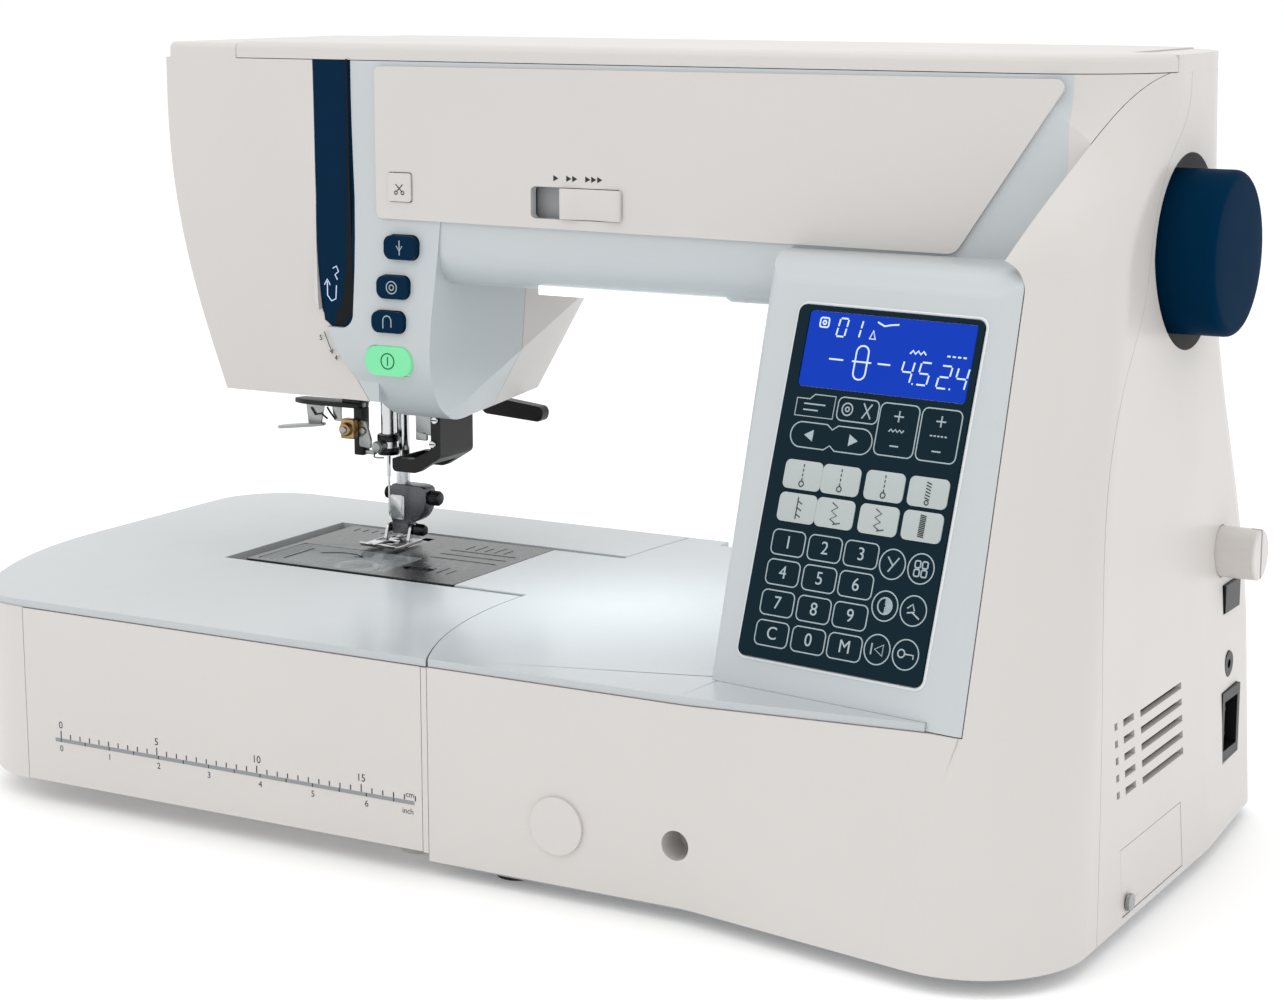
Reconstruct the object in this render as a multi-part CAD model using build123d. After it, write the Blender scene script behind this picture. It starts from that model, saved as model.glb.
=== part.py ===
from build123d import *
import math
import os

# Computerised sewing machine with an extension table.
# Millimetres. X runs along the bed from the head (-X) to the hand wheel (+X), Y runs from the
# operator's side (-Y) to the back (+Y), Z is up. The origin is on the table, under the middle.

# ---- driving dimensions -------------------------------------------------------------------
LEFT = -262.0            # left end of the extension table
FRONT = -113.5           # flat front of the bed and table
BACK = 131.5             # back of the bed and table
FOOT_H = 3.0             # rubber feet under the base
TABLE_TOP = 84.8         # sewing surface
SKIN = 3.0               # thickness of the pale top skins
BED_X1 = 200.0           # right end of the bed's pale skin
RIM = TABLE_TOP - SKIN   # top edge of the cream walls
SEAM_X = 2.0             # joint between extension table and machine
WALL = 2.6               # moulded wall thickness
GAP = 0.3                # joint line between neighbouring covers
FINE_GAP = 0.05          # housing foot on the bed skin

ARM_FRONT = -18.5
ARM_BACK = 104.0
ARM_UNDER = 212.0
ARM_TOP = 302.0          # rim under the lid
LID_TOP = 309.0
SIDE_X = 241.0           # right side at the height of the hand wheel
LEDGE_Z = 236.0          # top of the keypad surround

NEEDLE_X = -125.0
NEEDLE_Y = 46.5
SHAFT_Y = 36.0
SHAFT_Z = 236.5
LOWER_Y = 21.0
LOWER_Z = 44.0
HOOK_X = -131.0

ARM_Y0, ARM_Y1 = -3.3, 77.5      # free arm, front and back edges
ARM_X0 = -172.0                  # free arm, left end
PLATE_X0, PLATE_X1 = -167.0, -58.5

PANEL_AT = (160.5, -72.9, 157.2)         # middle of the leaning keypad face
PANEL_YAW = -0.162                       # dY/dX of that face
PANEL_LEAN = 0.307                       # dY/dZ of that face

ARM_Z0 = 28.0                            # underside of the free arm
TABLE_Z0 = 9.0                           # underside of the extension table
SLOT_END = -176.0                        # end of the table's slot for the free arm
SLOT_GAP = 3.7                           # room round the free arm
DOOR_X0, DOOR_X1 = -197.0, -1.0          # drop-down front of the table
DOOR_PIVOT = (-110.2, 15.0)              # its hinge line (y, z)
DOOR_FLOOR_Y = -103.0                    # edge of the floor behind the door
STUB_R = 1.2

KNEE_X, KNEE_Z, KNEE_R = 108.3, 29.3, 5.6    # knee-lift socket
CAP_X, CAP_Z, CAP_R = 58.8, 29.0, 11.0       # round cap
WELL_R = 36.0                                # recess round the hand wheel
WELL_X = 223.5
WHEEL_R = 30.5
PANEL_PROUD = 1.5                            # arm panel in front of the arm
LID_X0 = -153.0                              # left end of the lid
CAP_X0 = 222.0                               # left edge of the right rear cap
HINGE_AT = [(-60.0, -40.0), (150.0, 170.0)]  # lid eyes
HINGE_Y, HINGE_Z, PIN_R = ARM_BACK, 303.5, 1.0
TRAY_X0, TRAY_X1, TRAY_Z = -90.0, 197.0, 266.0
SPOOL_X0, SPOOL_X1, SPOOL_Y, SPOOL_Z = 30.0, 120.0, 55.0, 286.0
WINDER_X, WINDER_Y = 160.0, 20.0

# Outlines as x0, x1, z0, z1 on the front, or y0, y1, z0, z1 on the side.
BUTTONS = {
    "needle_button": (-77.7, -62.2, 222.5, 232.3),
    "lock_button": (-81.1, -66.0, 206.4, 215.8),
    "reverse_button": (-83.4, -67.8, 192.4, 201.3),
    "start_button": (-87.8, -65.3, 174.5, 186.6),
    "cutter_button": (-76.0, -65.0, 246.0, 257.5),
}
BUTTON_FACE = {
    "needle_button": -22.4, "lock_button": -23.2, "reverse_button": -23.9, "start_button": -22.6,
    "cutter_button": -20.9,
}
SLOT_X0, SLOT_X1, SLOT_Z0, SLOT_Z1 = -8.6, 33.1, 242.0, 254.6
SLIDER = (5.4, 32.9, 242.3, 254.3)
INLET = (71.0, 93.0, 33.0, 61.0)
ROCKER = (76.0, 94.0, 92.0, 103.0)
JACK, JACK_R = (81.0, 71.0), 5.0
DIAL_Y, DIAL_Z, DIAL_R = 75.0, 117.0, 10.0
LENS = (-11.0, 74.0, -12.0, 6.0)             # lamp lens x0, x1, y0, y1
LCD_AT = (-34.0, 36.5, 35.0, 62.5)           # display on the keypad face

UPRIGHTS = [(113.0, 121.0), (196.0, 204.0)]
HEAD_PLATE = (-97.0, -91.0)
BUSH_AT = [HEAD_PLATE] + UPRIGHTS
BUSH_R, SHAFT_R = 8.0, 5.0
CRANK_X, CRANK_R, LINK = -111.5, 15.5, 38.0
PULLEY_X0, PULLEY_R = 206.0, 20.0
MOTOR_Y, MOTOR_Z, MOTOR_PULLEY_R = 55.0, 112.0, 8.0
BAR_R = 3.2
PRESSER_X, PRESSER_Y = -124.5, 57.0
THREADER_X, THREADER_Y = -139.0, 46.0
FOOT_Y, FOOT_Z = 55.5, 92.0                  # pin of the snap-on foot
LIFT_X, LIFT_Z = -124.0, 158.0
TAKE_X0, TAKE_X1, TAKE_Y, TAKE_Z = -103.0, -97.0, 52.0, 268.0
COVER_AT = (-163.0, -99.0, 0.5, 34.5)        # bobbin cover x0, x1, y0, y1
RELEASE_AT, RELEASE_SIZE = (-89.0, 15.5), (9.0, 5.0)
FEED_X = (-130.5, -119.5)
FOOT_AT = [(225, -95), (225, 105), (30, -95), (30, 105), (-150, 37)]
SCREW_AT, SCREW_R = [(130, 0), (187, 0), (130, 74), (187, 74)], 1.75
HATCH_SCREW = (-46.0, 13.0)


# ---- small helpers ------------------------------------------------------------------------
def block(x0, x1, y0, y1, z0, z1):
    """Box between two corners."""
    return Pos((x0 + x1) / 2, (y0 + y1) / 2, (z0 + z1) / 2) * Box(x1 - x0, y1 - y0, z1 - z0)


def rod(axis, at, radius, length):
    """Cylinder that starts at a point and runs along +X, +Y or +Z."""
    turn = {"x": Rot(0, 90, 0), "y": Rot(-90, 0, 0), "z": Rot(0, 0, 0)}[axis]
    base = Cylinder(radius, length, align=(Align.CENTER, Align.CENTER, Align.MIN))
    return Pos(*at) * turn * base


def tube(axis, at, radius, bore, length):
    """Round sleeve."""
    return rod(axis, at, radius, length) - rod(axis, at, bore, length)


def inset(points, amount):
    """Move every side of a counter-clockwise outline of (x, y, radius) corners inwards."""
    moved = []
    count = len(points)
    for i, (x, y, r) in enumerate(points):
        here = Vector(x, y)
        before = (Vector(*points[i - 1][:2]) - here).normalized()
        after = (Vector(*points[(i + 1) % count][:2]) - here).normalized()
        turn = (-before).cross(after).Z
        normal_in = Vector(before.Y, -before.X)
        normal_out = Vector(-after.Y, after.X)
        mid = (normal_in + normal_out).normalized()
        place = here + mid * (amount / mid.dot(normal_out))
        radius = max(r - amount, 0.4) if turn > 0 else r + amount
        moved.append((place.X, place.Y, radius if r > 0 else 0))
    return moved


def rounded(points):
    """Closed wire in the XY plane from (x, y, radius) corners."""
    ends = []
    count = len(points)
    for i, (x, y, r) in enumerate(points):
        here = Vector(x, y)
        if r == 0:
            ends.append((here, here, here))
            continue
        before = (Vector(*points[i - 1][:2]) - here).normalized()
        after = (Vector(*points[(i + 1) % count][:2]) - here).normalized()
        half = math.acos(max(-1, min(1, before.dot(after)))) / 2
        reach = r / math.tan(half)
        inward = (before + after).normalized()
        centre = here + inward * (r / math.sin(half))
        ends.append((here + before * reach, centre - inward * r, here + after * reach))
    edges = []
    for i, (start, middle, finish) in enumerate(ends):
        if start != finish:
            edges.append(ThreePointArc(start, middle, finish))
        edges.append(Line(finish, ends[(i + 1) % count][0]))
    return Wire(edges)


def slab(points, z0, z1):
    """Upright prism from (x, y, radius) corners."""
    return extrude(Pos(0, 0, z0) * Face(rounded(points)), z1 - z0, dir=(0, 0, 1))


def front_prism(points, y0, y1):
    """Prism along Y from (x, z, radius) corners seen from the front."""
    return Pos(0, y1, 0) * Rot(90, 0, 0) * slab(points, 0, y1 - y0)


def side_prism(points, x0, x1):
    """Prism along X from (y, z, radius) corners seen from the right."""
    turned = Rot(0, 0, 90) * Rot(90, 0, 0) * slab(points, 0, x1 - x0)
    return Pos(x0, 0, 0) * turned


def stack(sections, ruled=False):
    """Loft through (z, outline) sections."""
    faces = [Pos(0, 0, z) * Face(rounded(outline)) for z, outline in sections]
    return loft(faces, ruled=ruled)


def panel_y(x, z):
    """Front face of the leaning keypad panel."""
    return PANEL_AT[1] + PANEL_YAW * (x - PANEL_AT[0]) + PANEL_LEAN * (z - PANEL_AT[2])


# ---- master form: one hollow body that the covers are cut from ----------------------------
def base_outline(z):
    """Plan of the bed's right part: a bulging front that turns into the side."""
    low = [
        (SEAM_X, FRONT, 0), (112, FRONT, 60), (195, -128.6, 60), (255.3, -139.7, 42),
        (255.0, 46, 100), (248.5, BACK - 2, 20), (SEAM_X, BACK - 2, 0),
    ]
    high = [
        (SEAM_X, FRONT, 0), (112, FRONT, 60), (205, panel_y(205, RIM), 60),
        (250.0, panel_y(250.0, RIM), 36), (249.7, 46, 100), (247.2, 124.0, 20), (SEAM_X, 124.0, 0),
    ]
    t = (z - 6) / (RIM - 6)
    return [
        (a[0] + t * (b[0] - a[0]), a[1] + t * (b[1] - a[1]), a[2] + t * (b[2] - a[2]))
        for a, b in zip(low, high)
    ]


def base_form(w=0.0):
    """Walls of the bed's right part, open above and below when hollowed."""
    heights = (6.0, RIM)
    return stack([(z, inset(base_outline(z), w) if w else base_outline(z)) for z in heights], ruled=True)


def column_outline(z, front, slope, left, left_back, side, back_x, back_y, r_front, r_back):
    """Plan of the column at one height; front is where its front line meets the right side."""
    return [
        (left, front - slope * (side - left), 6), (side, front, r_front), (side - 0.3, 46, 100),
        (back_x, back_y, r_back), (left_back, back_y, 5),
    ]


def column_low(w=0.0):
    """Column up to the ledge: its front is the leaning panel."""
    steps = [
        (RIM, 107.3, 84.8, 250.0, 247.2, 124.0, 36, 20),
        (130.0, 107.8, 85.4, 246.8, 244.6, 117.5, 34.5, 23),
        (190.0, 108.4, 86.2, 243.5, 240.8, 106.0, 33, 33),
        (LEDGE_Z, 109.0, 87.0, SIDE_X, 239.0, ARM_BACK, 32, 40),
    ]
    sections = []
    for z, left, left_back, side, back_x, back_y, r_front, r_back in steps:
        outline = column_outline(
            z, panel_y(side, z), PANEL_YAW, left, left_back, side, back_x, back_y, r_front, r_back)
        sections.append((z, inset(outline, w) if w else outline))
    return stack(sections)


def column_high(w=0.0):
    """Column from the ledge to the lid: the front right corner leans back to the arm's front."""
    steps = [
        (LEDGE_Z, panel_y(SIDE_X, LEDGE_Z), PANEL_YAW, 239.0, 32, 40),
        (242.0, -59.4, -0.15, 239.1, 32.5, 40.5),
        (250.0, -54.0, -0.13, 239.2, 33.5, 41),
        (262.0, -42.8, -0.09, 239.3, 36.5, 42),
        (275.0, -30.0, -0.05, 239.4, 40.5, 43.5),
        (288.0, -21.3, -0.015, 239.5, 44, 45),
        (ARM_TOP, ARM_FRONT, 0.0, 239.5, 45, 46),
    ]
    sections = []
    for z, front, slope, back_x, r_front, r_back in steps:
        outline = column_outline(
            z, front, slope, 109.0, 87.0, SIDE_X, back_x, ARM_BACK, r_front, r_back)
        sections.append((z, inset(outline, w) if w else outline))
    return stack(sections)


EDGE_LINE = [(205.5, 239.5), (213.0, 255.0), (219.0, 270.0), (224.5, 283.0), (234.5, 298.0), (246.0, 306.0)]


def right_of_edge(shift=0.0, y0=-150.0, y1=150.0):
    """Everything right of the cream corner's left edge, seen from the front."""
    curve = Spline(*[(x + shift, z) for x, z in EDGE_LINE])
    corner = ThreePointArc((214.3 + shift, 228.0), (211.5 + shift, 235.8), (205.5 + shift, 239.5))
    outline = Wire([
        Line((214.3 + shift, RIM), (214.3 + shift, 228.0)), corner, curve,
        Line(curve @ 1, (300, 306)), Line((300, 306), (300, RIM)), Line((300, RIM), (214.3 + shift, RIM)),
    ])
    return extrude(Pos(0, y1, 0) * Rot(90, 0, 0) * make_face(outline), y1 - y0)


def ledge_form(w=0.0):
    """Everything behind the leaning panel and under its rounded ledge."""
    turn = math.atan(PANEL_YAW)
    reach = -PANEL_AT[0] * math.sin(turn) + PANEL_AT[1] * math.cos(turn)
    lean = PANEL_LEAN * math.cos(turn)
    profile = [
        (reach - lean * PANEL_AT[2], 0, 0), (300, 0, 0), (300, LEDGE_Z, 0),
        (reach + lean * (LEDGE_Z - PANEL_AT[2]), LEDGE_Z, 14),
    ]
    if w:
        profile = [(y, z - 20 * (z < 1), r) for y, z, r in inset(profile, w)]
    return Rot(0, 0, math.degrees(turn)) * side_prism(profile, -100, 400)


def column_form(w=0.0):
    """Column: keypad block with its rounded ledge, and the cream corner that rises to the lid."""
    low = column_low(w)
    high = column_high(w)
    keypad = low & ledge_form(w)
    ahead = block(0, 300, -200, ARM_FRONT + w, 0, 400)
    right = right_of_edge(w)
    return keypad + (low & ahead & right) + (high & ahead & right) + (high - ahead) + (low - ahead)


def arm_form(w=0.0):
    """Horizontal arm between head and column."""
    profile = [
        (ARM_FRONT, ARM_UNDER, 15), (ARM_BACK, ARM_UNDER, 10), (ARM_BACK, ARM_TOP + w, 0),
        (ARM_FRONT, ARM_TOP + w, 0),
    ]
    return side_prism(inset(profile, w) if w else profile, -140.0, 196.0)


HEAD_EDGE = [(-190.2, ARM_TOP), (-190.0, 276.0), (-185.6, 236.0), (-176.0, 199.0), (-162.8, 162.5)]


def head_left_form(w=0.0):
    """Left end of the head, under the face cover."""
    plan = [(-200, ARM_FRONT, 0), (-84, ARM_FRONT, 0), (-84, ARM_BACK, 0), (-200, ARM_BACK, 0)]
    body = slab(inset(plan, w) if w else plan, 162.5 + w, ARM_TOP)
    edge = Spline(*[(x + w, z) for x, z in HEAD_EDGE], tangents=[(0, -1), (0.37, -1)])
    right = -84 - w
    side = make_face(Wire([
        edge, Line(edge @ 1, (right, 162.5)), Line((right, 162.5), (right, ARM_TOP)),
        Line((right, ARM_TOP), edge @ 0),
    ]))
    return body & extrude(Pos(0, 120, 0) * Rot(90, 0, 0) * side, 160)


def head_right_form(w=0.0):
    """Right part of the head that carries the buttons; its front swells above the needle."""
    crown = [
        (ARM_FRONT, ARM_TOP), (ARM_FRONT, 246), (-20.5, 215), (-22.0, 190), (-19.0, 172),
        (-10.5, 160), (5.0, 153.6), (24.0, 152.5),
    ]
    front = Spline(*[(y + w, z + w * (i / 7)) for i, (y, z) in enumerate(crown)])
    back = ARM_BACK - w
    low = 152.5 + w
    profile = make_face(Wire([
        front, Line(front @ 1, (back, low)), Line((back, low), (back, ARM_TOP)),
        Line((back, ARM_TOP), front @ 0),
    ]))
    swell = Pos(-114, 0, 0) * (Rot(0, 0, 90) * Rot(90, 0, 0) * extrude(profile, 70, dir=(0, 0, 1)))
    outline = [
        (-87.0, 150, 0), (-59.0, 150, 0), (-54.0, 215, 0), (-52, 240, 0), (-52, ARM_TOP + w, 0),
        (-114, ARM_TOP + w, 0), (-114, 204, 0), (-106.5, 192.4, 0), (-99.7, 178.3, 0), (-87.0, 160.0, 0),
    ]
    body = swell & front_prism(inset(outline, w) if w else outline, -40, 120)
    tuck = Plane(origin=(-60.0 - w, ARM_FRONT, 150), x_dir=(-24, 123, 0), z_dir=(46, 9, -27))
    return body - tuck * Pos(0, 0, 60) * Box(400, 400, 120)


def outer_form():
    """The whole closed shape."""
    return base_form() + column_form() + arm_form() + head_left_form() + head_right_form()


def inner_spaces():
    """The spaces inside the walls."""
    link = block(-112, -86, ARM_FRONT + WALL, ARM_BACK - WALL, 200, 262)
    under_top = block(SEAM_X + WALL, 240, -80, 120, RIM - 1, RIM + 1)
    return [
        base_form(WALL), arm_form(WALL), head_left_form(WALL), head_right_form(WALL),
        column_form(WALL), link, under_top,
    ]


# ---- covers -------------------------------------------------------------------------------
STRIP_LEFT = [(-114.2, ARM_TOP + 4), (-113.9, 265.0), (-113.1, 224.0), (-110.5, 195.2)]
STRIP_RIGHT = [(-94.1, 199.5), (-93.9, 212.0), (-94.4, 245.6), (-95.2, ARM_TOP + 4)]


def strip_region(shrink=0.0):
    """Outline of the navy threading strip on the head's front."""
    left = Spline(*[(x + shrink, z) for x, z in STRIP_LEFT])
    right = Spline(*[(x - shrink, z) for x, z in STRIP_RIGHT])
    low = 193.0 + shrink
    tip = ThreePointArc((-101.0, low), (-95.8 - shrink, 194.8 + shrink), right @ 0)
    outline = Wire([
        left, Line(left @ 1, (-106.5, low)), Line((-106.5, low), (-101.0, low)), tip, right,
        Line(right @ 1, left @ 0),
    ])
    return extrude(Pos(0, ARM_FRONT + WALL + 1, 0) * Rot(90, 0, 0) * make_face(outline), 12)


def face_region(grow=0.0):
    """Left end of the head, up to the strip and along the slanted joint below it."""
    line = Spline(*[(x + grow, z) for x, z in STRIP_LEFT])
    steps = [line @ 1, (-106.5 + grow, 192.4), (-99.7 + grow, 178.3), (-87.0 + grow, 160.0),
             (-87.0 + grow, 140.0), (-230, 140), (-230, ARM_TOP + 4), line @ 0]
    sides = [Line(steps[i], steps[i + 1]) for i in range(len(steps) - 1)]
    return extrude(Pos(0, 130, 0) * Rot(90, 0, 0) * make_face(Wire([line] + sides)), 180)


SIDE_SEAM = [
    (-80.0, -4.0), (-72.2, 35.6), (-63.6, 90.5), (-54.0, 151.5), (-34.0, 196.0), (-9.0, 226.0),
    (0.0, 252.0), (12.0, 270.5), (27.0, 282.5), (31.5, 310.0),
]


def seam_region(grow=0.0):
    """Space in front of the joint between front and rear covers on the right side."""
    line = Spline(*[(y + grow, z) for y, z in SIDE_SEAM])
    outline = Wire([
        line, Line(line @ 1, (-200, 310)), Line((-200, 310), (-200, -4)), Line((-200, -4), line @ 0),
    ])
    return Pos(150, 0, 0) * (Rot(0, 0, 90) * Rot(90, 0, 0) * extrude(make_face(outline), 150, dir=(0, 0, 1)))


REAR_Y = 50.0


def front_region(grow=0.0):
    """Cream front cover: the bed's front and the right front corner up to the lid."""
    bed = block(-10, 230, -200, 37 + grow, -10, RIM + grow)
    side = right_of_edge(-grow) + block(214.3 - grow, 300, -200, 200, -10, RIM + 5)
    corner = side & seam_region(grow)
    return (bed - block(214.3 - grow, 300, -200, 200, -10, 400)) + corner


def vents():
    """Five rows of a dot, a short slot and a long slot through the right side."""
    cuts = []
    for row in range(5):
        z = 78.0 - 6.2 * row
        for y0, y1 in ((-52.5, -49.5), (-43.5, -32.5), (-25.5, 20.0)):
            lift = -0.05 * (y0 + 55)
            cuts.append(block(225, 262, y0, y1, z - 1.3 + lift, z + 1.3 + lift))
    return cuts


def main_solid(body):
    """The largest piece of a cut body."""
    return sorted(body.solids(), key=lambda piece: piece.volume)[-1]


def button_hole(name):
    """Room for one push button through the front wall."""
    x0, x1, z0, z1 = BUTTONS[name]
    corner = 5.5 if name == "start_button" else 3.5
    if name == "cutter_button":
        corner = 1.2
    return oblong_front(x0, x1, z0, z1, corner, -26, -12, GAP)


def oblong_front(x0, x1, z0, z1, corner, y0, y1, grow=0.0):
    """Round-cornered prism along Y."""
    points = [
        (x0 - grow, z0 - grow, corner), (x1 + grow, z0 - grow, corner),
        (x1 + grow, z1 + grow, corner), (x0 - grow, z1 + grow, corner),
    ]
    return front_prism(points, y0, y1)


def hatch_region(grow=0.0):
    """Outline of the side hatch."""
    return block(230, 262, -51 - grow, 15 + grow, 8.5 - grow, 33 + grow)


def covers():
    """Cut the hollow master form into its separate covers."""
    outer = outer_form()
    spaces = inner_spaces()
    half = GAP / 2

    def hollow(body):
        for space in spaces:
            body -= space
        return body

    arm_opening = block(-10, 30, ARM_Y0 - 3, ARM_Y1 + 3, -10, RIM + 2)
    needle_opening = block(-148, -87, 16, 95, 140, 175)
    wheel_hole = rod("x", (WELL_X + 1.6, SHAFT_Y, SHAFT_Z), WELL_R + GAP, 40)
    dish = tube("x", (WELL_X, SHAFT_Y, SHAFT_Z), WELL_R + 2, 12, 1.6)
    dish += tube("x", (WELL_X, SHAFT_Y, SHAFT_Z), WELL_R + 2, WELL_R + GAP, 30)
    dish = dish & outer
    parts = {}

    face = hollow(outer & face_region(-half)) - needle_opening
    parts["face_cover"] = main_solid(face)

    wall_band = block(-130, -80, ARM_FRONT - 1, ARM_FRONT + WALL, 190, ARM_TOP)
    parts["thread_strip"] = main_solid((outer & strip_region(half)) & wall_band)

    front = hollow(outer & front_region(-half)) - arm_opening
    boss = rod("y", (KNEE_X, FRONT + 1, KNEE_Z), KNEE_R + 3, 16)
    front = front + boss - rod("y", (KNEE_X, FRONT - 3, KNEE_Z), KNEE_R, 17)
    front -= rod("y", (CAP_X, FRONT - 3, CAP_Z), CAP_R - 2.4, 12)
    front += dish & front_region(-half)
    parts["front_cover"] = main_solid(front - wheel_hole)

    behind = block(-150, 214, REAR_Y, 200, -10, 320) + block(214.0, 300, -200, 200, -10, 320)
    behind += block(-10, 214, 36, REAR_Y, -10, RIM)
    rear = (outer & behind) - front_region(half) - face_region(half)
    rear = hollow(rear) - arm_opening - needle_opening
    parts["side_hatch"] = main_solid(rear & hatch_region(-half)) - screw_hole()
    rear -= hatch_region(half)
    for cut in vents():
        rear -= cut
    rear -= block(225, 262, INLET[0] - GAP, INLET[1] + GAP, INLET[2] - GAP, INLET[3] + GAP)
    rear -= block(225, 262, ROCKER[0] - 1.4, ROCKER[1] + 1.4, ROCKER[2] - GAP, ROCKER[3] + GAP)
    rear -= rod("x", (225, JACK[0], JACK[1]), JACK_R + GAP, 40)
    rear -= rod("x", (225, DIAL_Y, DIAL_Z), DIAL_R + GAP, 40)
    rear += dish - front_region(half)
    rear = main_solid(rear - wheel_hole)
    parts["rear_cover"] = lid_knuckles(rear)

    ahead = block(-120, 214, -200, REAR_Y - GAP, TABLE_TOP + FINE_GAP, 320)
    ahead += block(BED_X1 + FINE_GAP, 214, -200, REAR_Y - GAP, RIM + GAP, TABLE_TOP + 1)
    ahead = ahead - front_region(half) - face_region(half) - strip_region(-half)
    housing = hollow(outer & ahead) - needle_opening
    for name in BUTTONS:
        housing -= button_hole(name)
    housing -= oblong_front(SLOT_X0, SLOT_X1, SLOT_Z0, SLOT_Z1, 2, -26, -12)
    housing -= block(LENS[0] - GAP, LENS[1] + GAP, LENS[2] - GAP, LENS[3] + GAP, 205, 222)
    parts["control_housing"] = main_solid(housing - arm_panel())
    return parts


def lid_knuckles(rear):
    """Hinge eyes for the lid along the top of the rear cover."""
    for x0, x1 in HINGE_AT:
        rear -= block(x0 - GAP, x1 + GAP, HINGE_Y - 4, HINGE_Y + 4, 300.6, 310)
        for x in (x0 - 4 - GAP, x1 + GAP):
            rear += rod("x", (x, HINGE_Y, HINGE_Z), 2.2, 4) + block(x, x + 4, HINGE_Y - 2, HINGE_Y, 299, 303)
        rear -= rod("x", (x0 - 6, HINGE_Y, HINGE_Z), PIN_R, x1 - x0 + 12)
    return main_solid(rear)


def arm_panel():
    """Cream panel on the arm's front, with its slanted right end."""
    outline = [
        (-82.5, 300, 3), (-82.6, 238.8, 3), (172.0, 236.9, 6), (214.6, 300.5, 3),
    ]
    plate = front_prism(outline, ARM_FRONT - PANEL_PROUD, ARM_FRONT)
    plate -= button_hole("cutter_button")
    return plate - oblong_front(SLOT_X0, SLOT_X1, SLOT_Z0, SLOT_Z1, 2, -26, -12)


# ---- bed, free arm and underside ----------------------------------------------------------
def arm_plan(grow=0.0, x1=20.0):
    """Plan of the free arm."""
    return [
        (ARM_X0 - grow, ARM_Y0 - grow, 6), (x1, ARM_Y0 - grow, 0),
        (x1, ARM_Y1 + grow, 0), (ARM_X0 - grow, ARM_Y1 + grow, 6),
    ]


def bed_top():
    """Pale skin over the bed between column, free arm and table."""
    rim = inset(base_outline(RIM), 0.7)
    front = ThreePointArc((SEAM_X, FRONT + 0.7), (-17.5, -62), (-22.5, ARM_Y0))
    back = ThreePointArc((-22.5, ARM_Y1), (-21, 103), (-18, BACK - 0.7))
    left = Wire([
        front, Line(front @ 1, (PLATE_X1 + GAP, ARM_Y0)),
        Line((PLATE_X1 + GAP, ARM_Y0), (PLATE_X1 + GAP, ARM_Y1)), Line((PLATE_X1 + GAP, ARM_Y1), back @ 0),
        back, Line(back @ 1, (3, BACK - 0.7)), Line((3, BACK - 0.7), (3, FRONT + 0.7)),
        Line((3, FRONT + 0.7), front @ 0),
    ])
    skin = slab(rim, RIM, TABLE_TOP) + extrude(Pos(0, 0, RIM) * make_face(left), SKIN, dir=(0, 0, 1))
    post = column_outline(RIM, panel_y(250.0, RIM), PANEL_YAW, 107.3, 84.8, 250.0, 247.2, 124.0, 36, 20)
    hole = slab(inset(post, 1.2), RIM - 1, TABLE_TOP + 1)
    hole += slab(inset(post, -GAP), RIM - 1, TABLE_TOP + 1) & block(-200, 300, REAR_Y - GAP, 200, 0, 100)
    right_side = block(BED_X1, 300, -200, 200, 0, 100)
    return main_solid(skin - hole - right_side - block(SEAM_X - GAP, 300, 122.0, 200, 0, 100))


def free_arm_cover():
    """Hollow free arm: a trough closed on top by the needle plate."""
    outer = slab(arm_plan(), ARM_Z0, RIM) + slab(arm_plan(x1=PLATE_X0 - GAP), RIM, TABLE_TOP)
    room = slab(inset(arm_plan(x1=30.0), 2.4), ARM_Z0 + 2.4, RIM + 0.01)
    return outer - room - block(ARM_X0 + 2.4, PLATE_X0 - 2, ARM_Y0 + 2.4, ARM_Y1 - 2.4, ARM_Z0 + 2.4, RIM + 0.4)


def base_plate():
    """Flat floor of the machine, with a tongue under the free arm."""
    plate = slab(inset(base_outline(8), 3.6), FOOT_H + 1, 8)
    plate += block(-160, 6, -2, 76, FOOT_H + 1, 8)
    for x, y in SCREW_AT:
        plate -= rod("z", (x, y, 0), SCREW_R + 0.05, 20)
    return plate


def rubber_feet():
    """Round feet under the floor."""
    feet = [rod("z", (x, y, 0), 8, FOOT_H + 1) for x, y in FOOT_AT]
    return Compound(children=feet)


# ---- extension table ----------------------------------------------------------------------
def table_outline(z):
    """Plan of the extension table; its left end leans in towards the foot."""
    lean = 5 * (RIM - z) / (RIM - TABLE_Z0)
    left = LEFT + lean
    return [
        (SEAM_X - GAP, BACK, 0), (left, BACK, 35), (left, -35.1, 190), (-225.7 + 0.6 * lean, FRONT, 40),
        (SEAM_X - GAP, FRONT, 0),
    ]


def table_body():
    """Hollow U-shaped box that slides round the free arm."""
    outer = stack([(TABLE_Z0, table_outline(TABLE_Z0)), (RIM, table_outline(RIM))], ruled=True)
    inner = stack([
        (TABLE_Z0 + 3, inset(table_outline(TABLE_Z0 + 3), WALL)),
        (RIM, inset(table_outline(RIM), WALL)),
    ], ruled=True)
    x0, y0, y1 = SLOT_END, ARM_Y0 - SLOT_GAP, ARM_Y1 + SLOT_GAP
    inner -= block(x0 - WALL, 10, y0 - WALL, y1 + WALL, 0, 100)
    body = outer - inner - block(x0, 10, y0, y1, 0, 100)
    body -= block(-24, 3, -120, 140, RIM - 0.4, 90)
    body -= block(DOOR_X0 - GAP, DOOR_X1 + GAP, -120, DOOR_FLOOR_Y, 0, RIM - 0.4)
    body -= block(DOOR_X0 - GAP, DOOR_X1 + GAP, -120, -105, 0, 100)
    lug = block(DOOR_X0 - 3.5, DOOR_X0 - GAP, FRONT + 0.4, DOOR_FLOOR_Y + 3, TABLE_Z0, DOOR_PIVOT[1] + 3)
    body += lug
    body -= rod("x", (DOOR_X0 - 3, *DOOR_PIVOT), STUB_R + 0.05, 300)
    body += table_feet()
    return main_solid(body)


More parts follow.
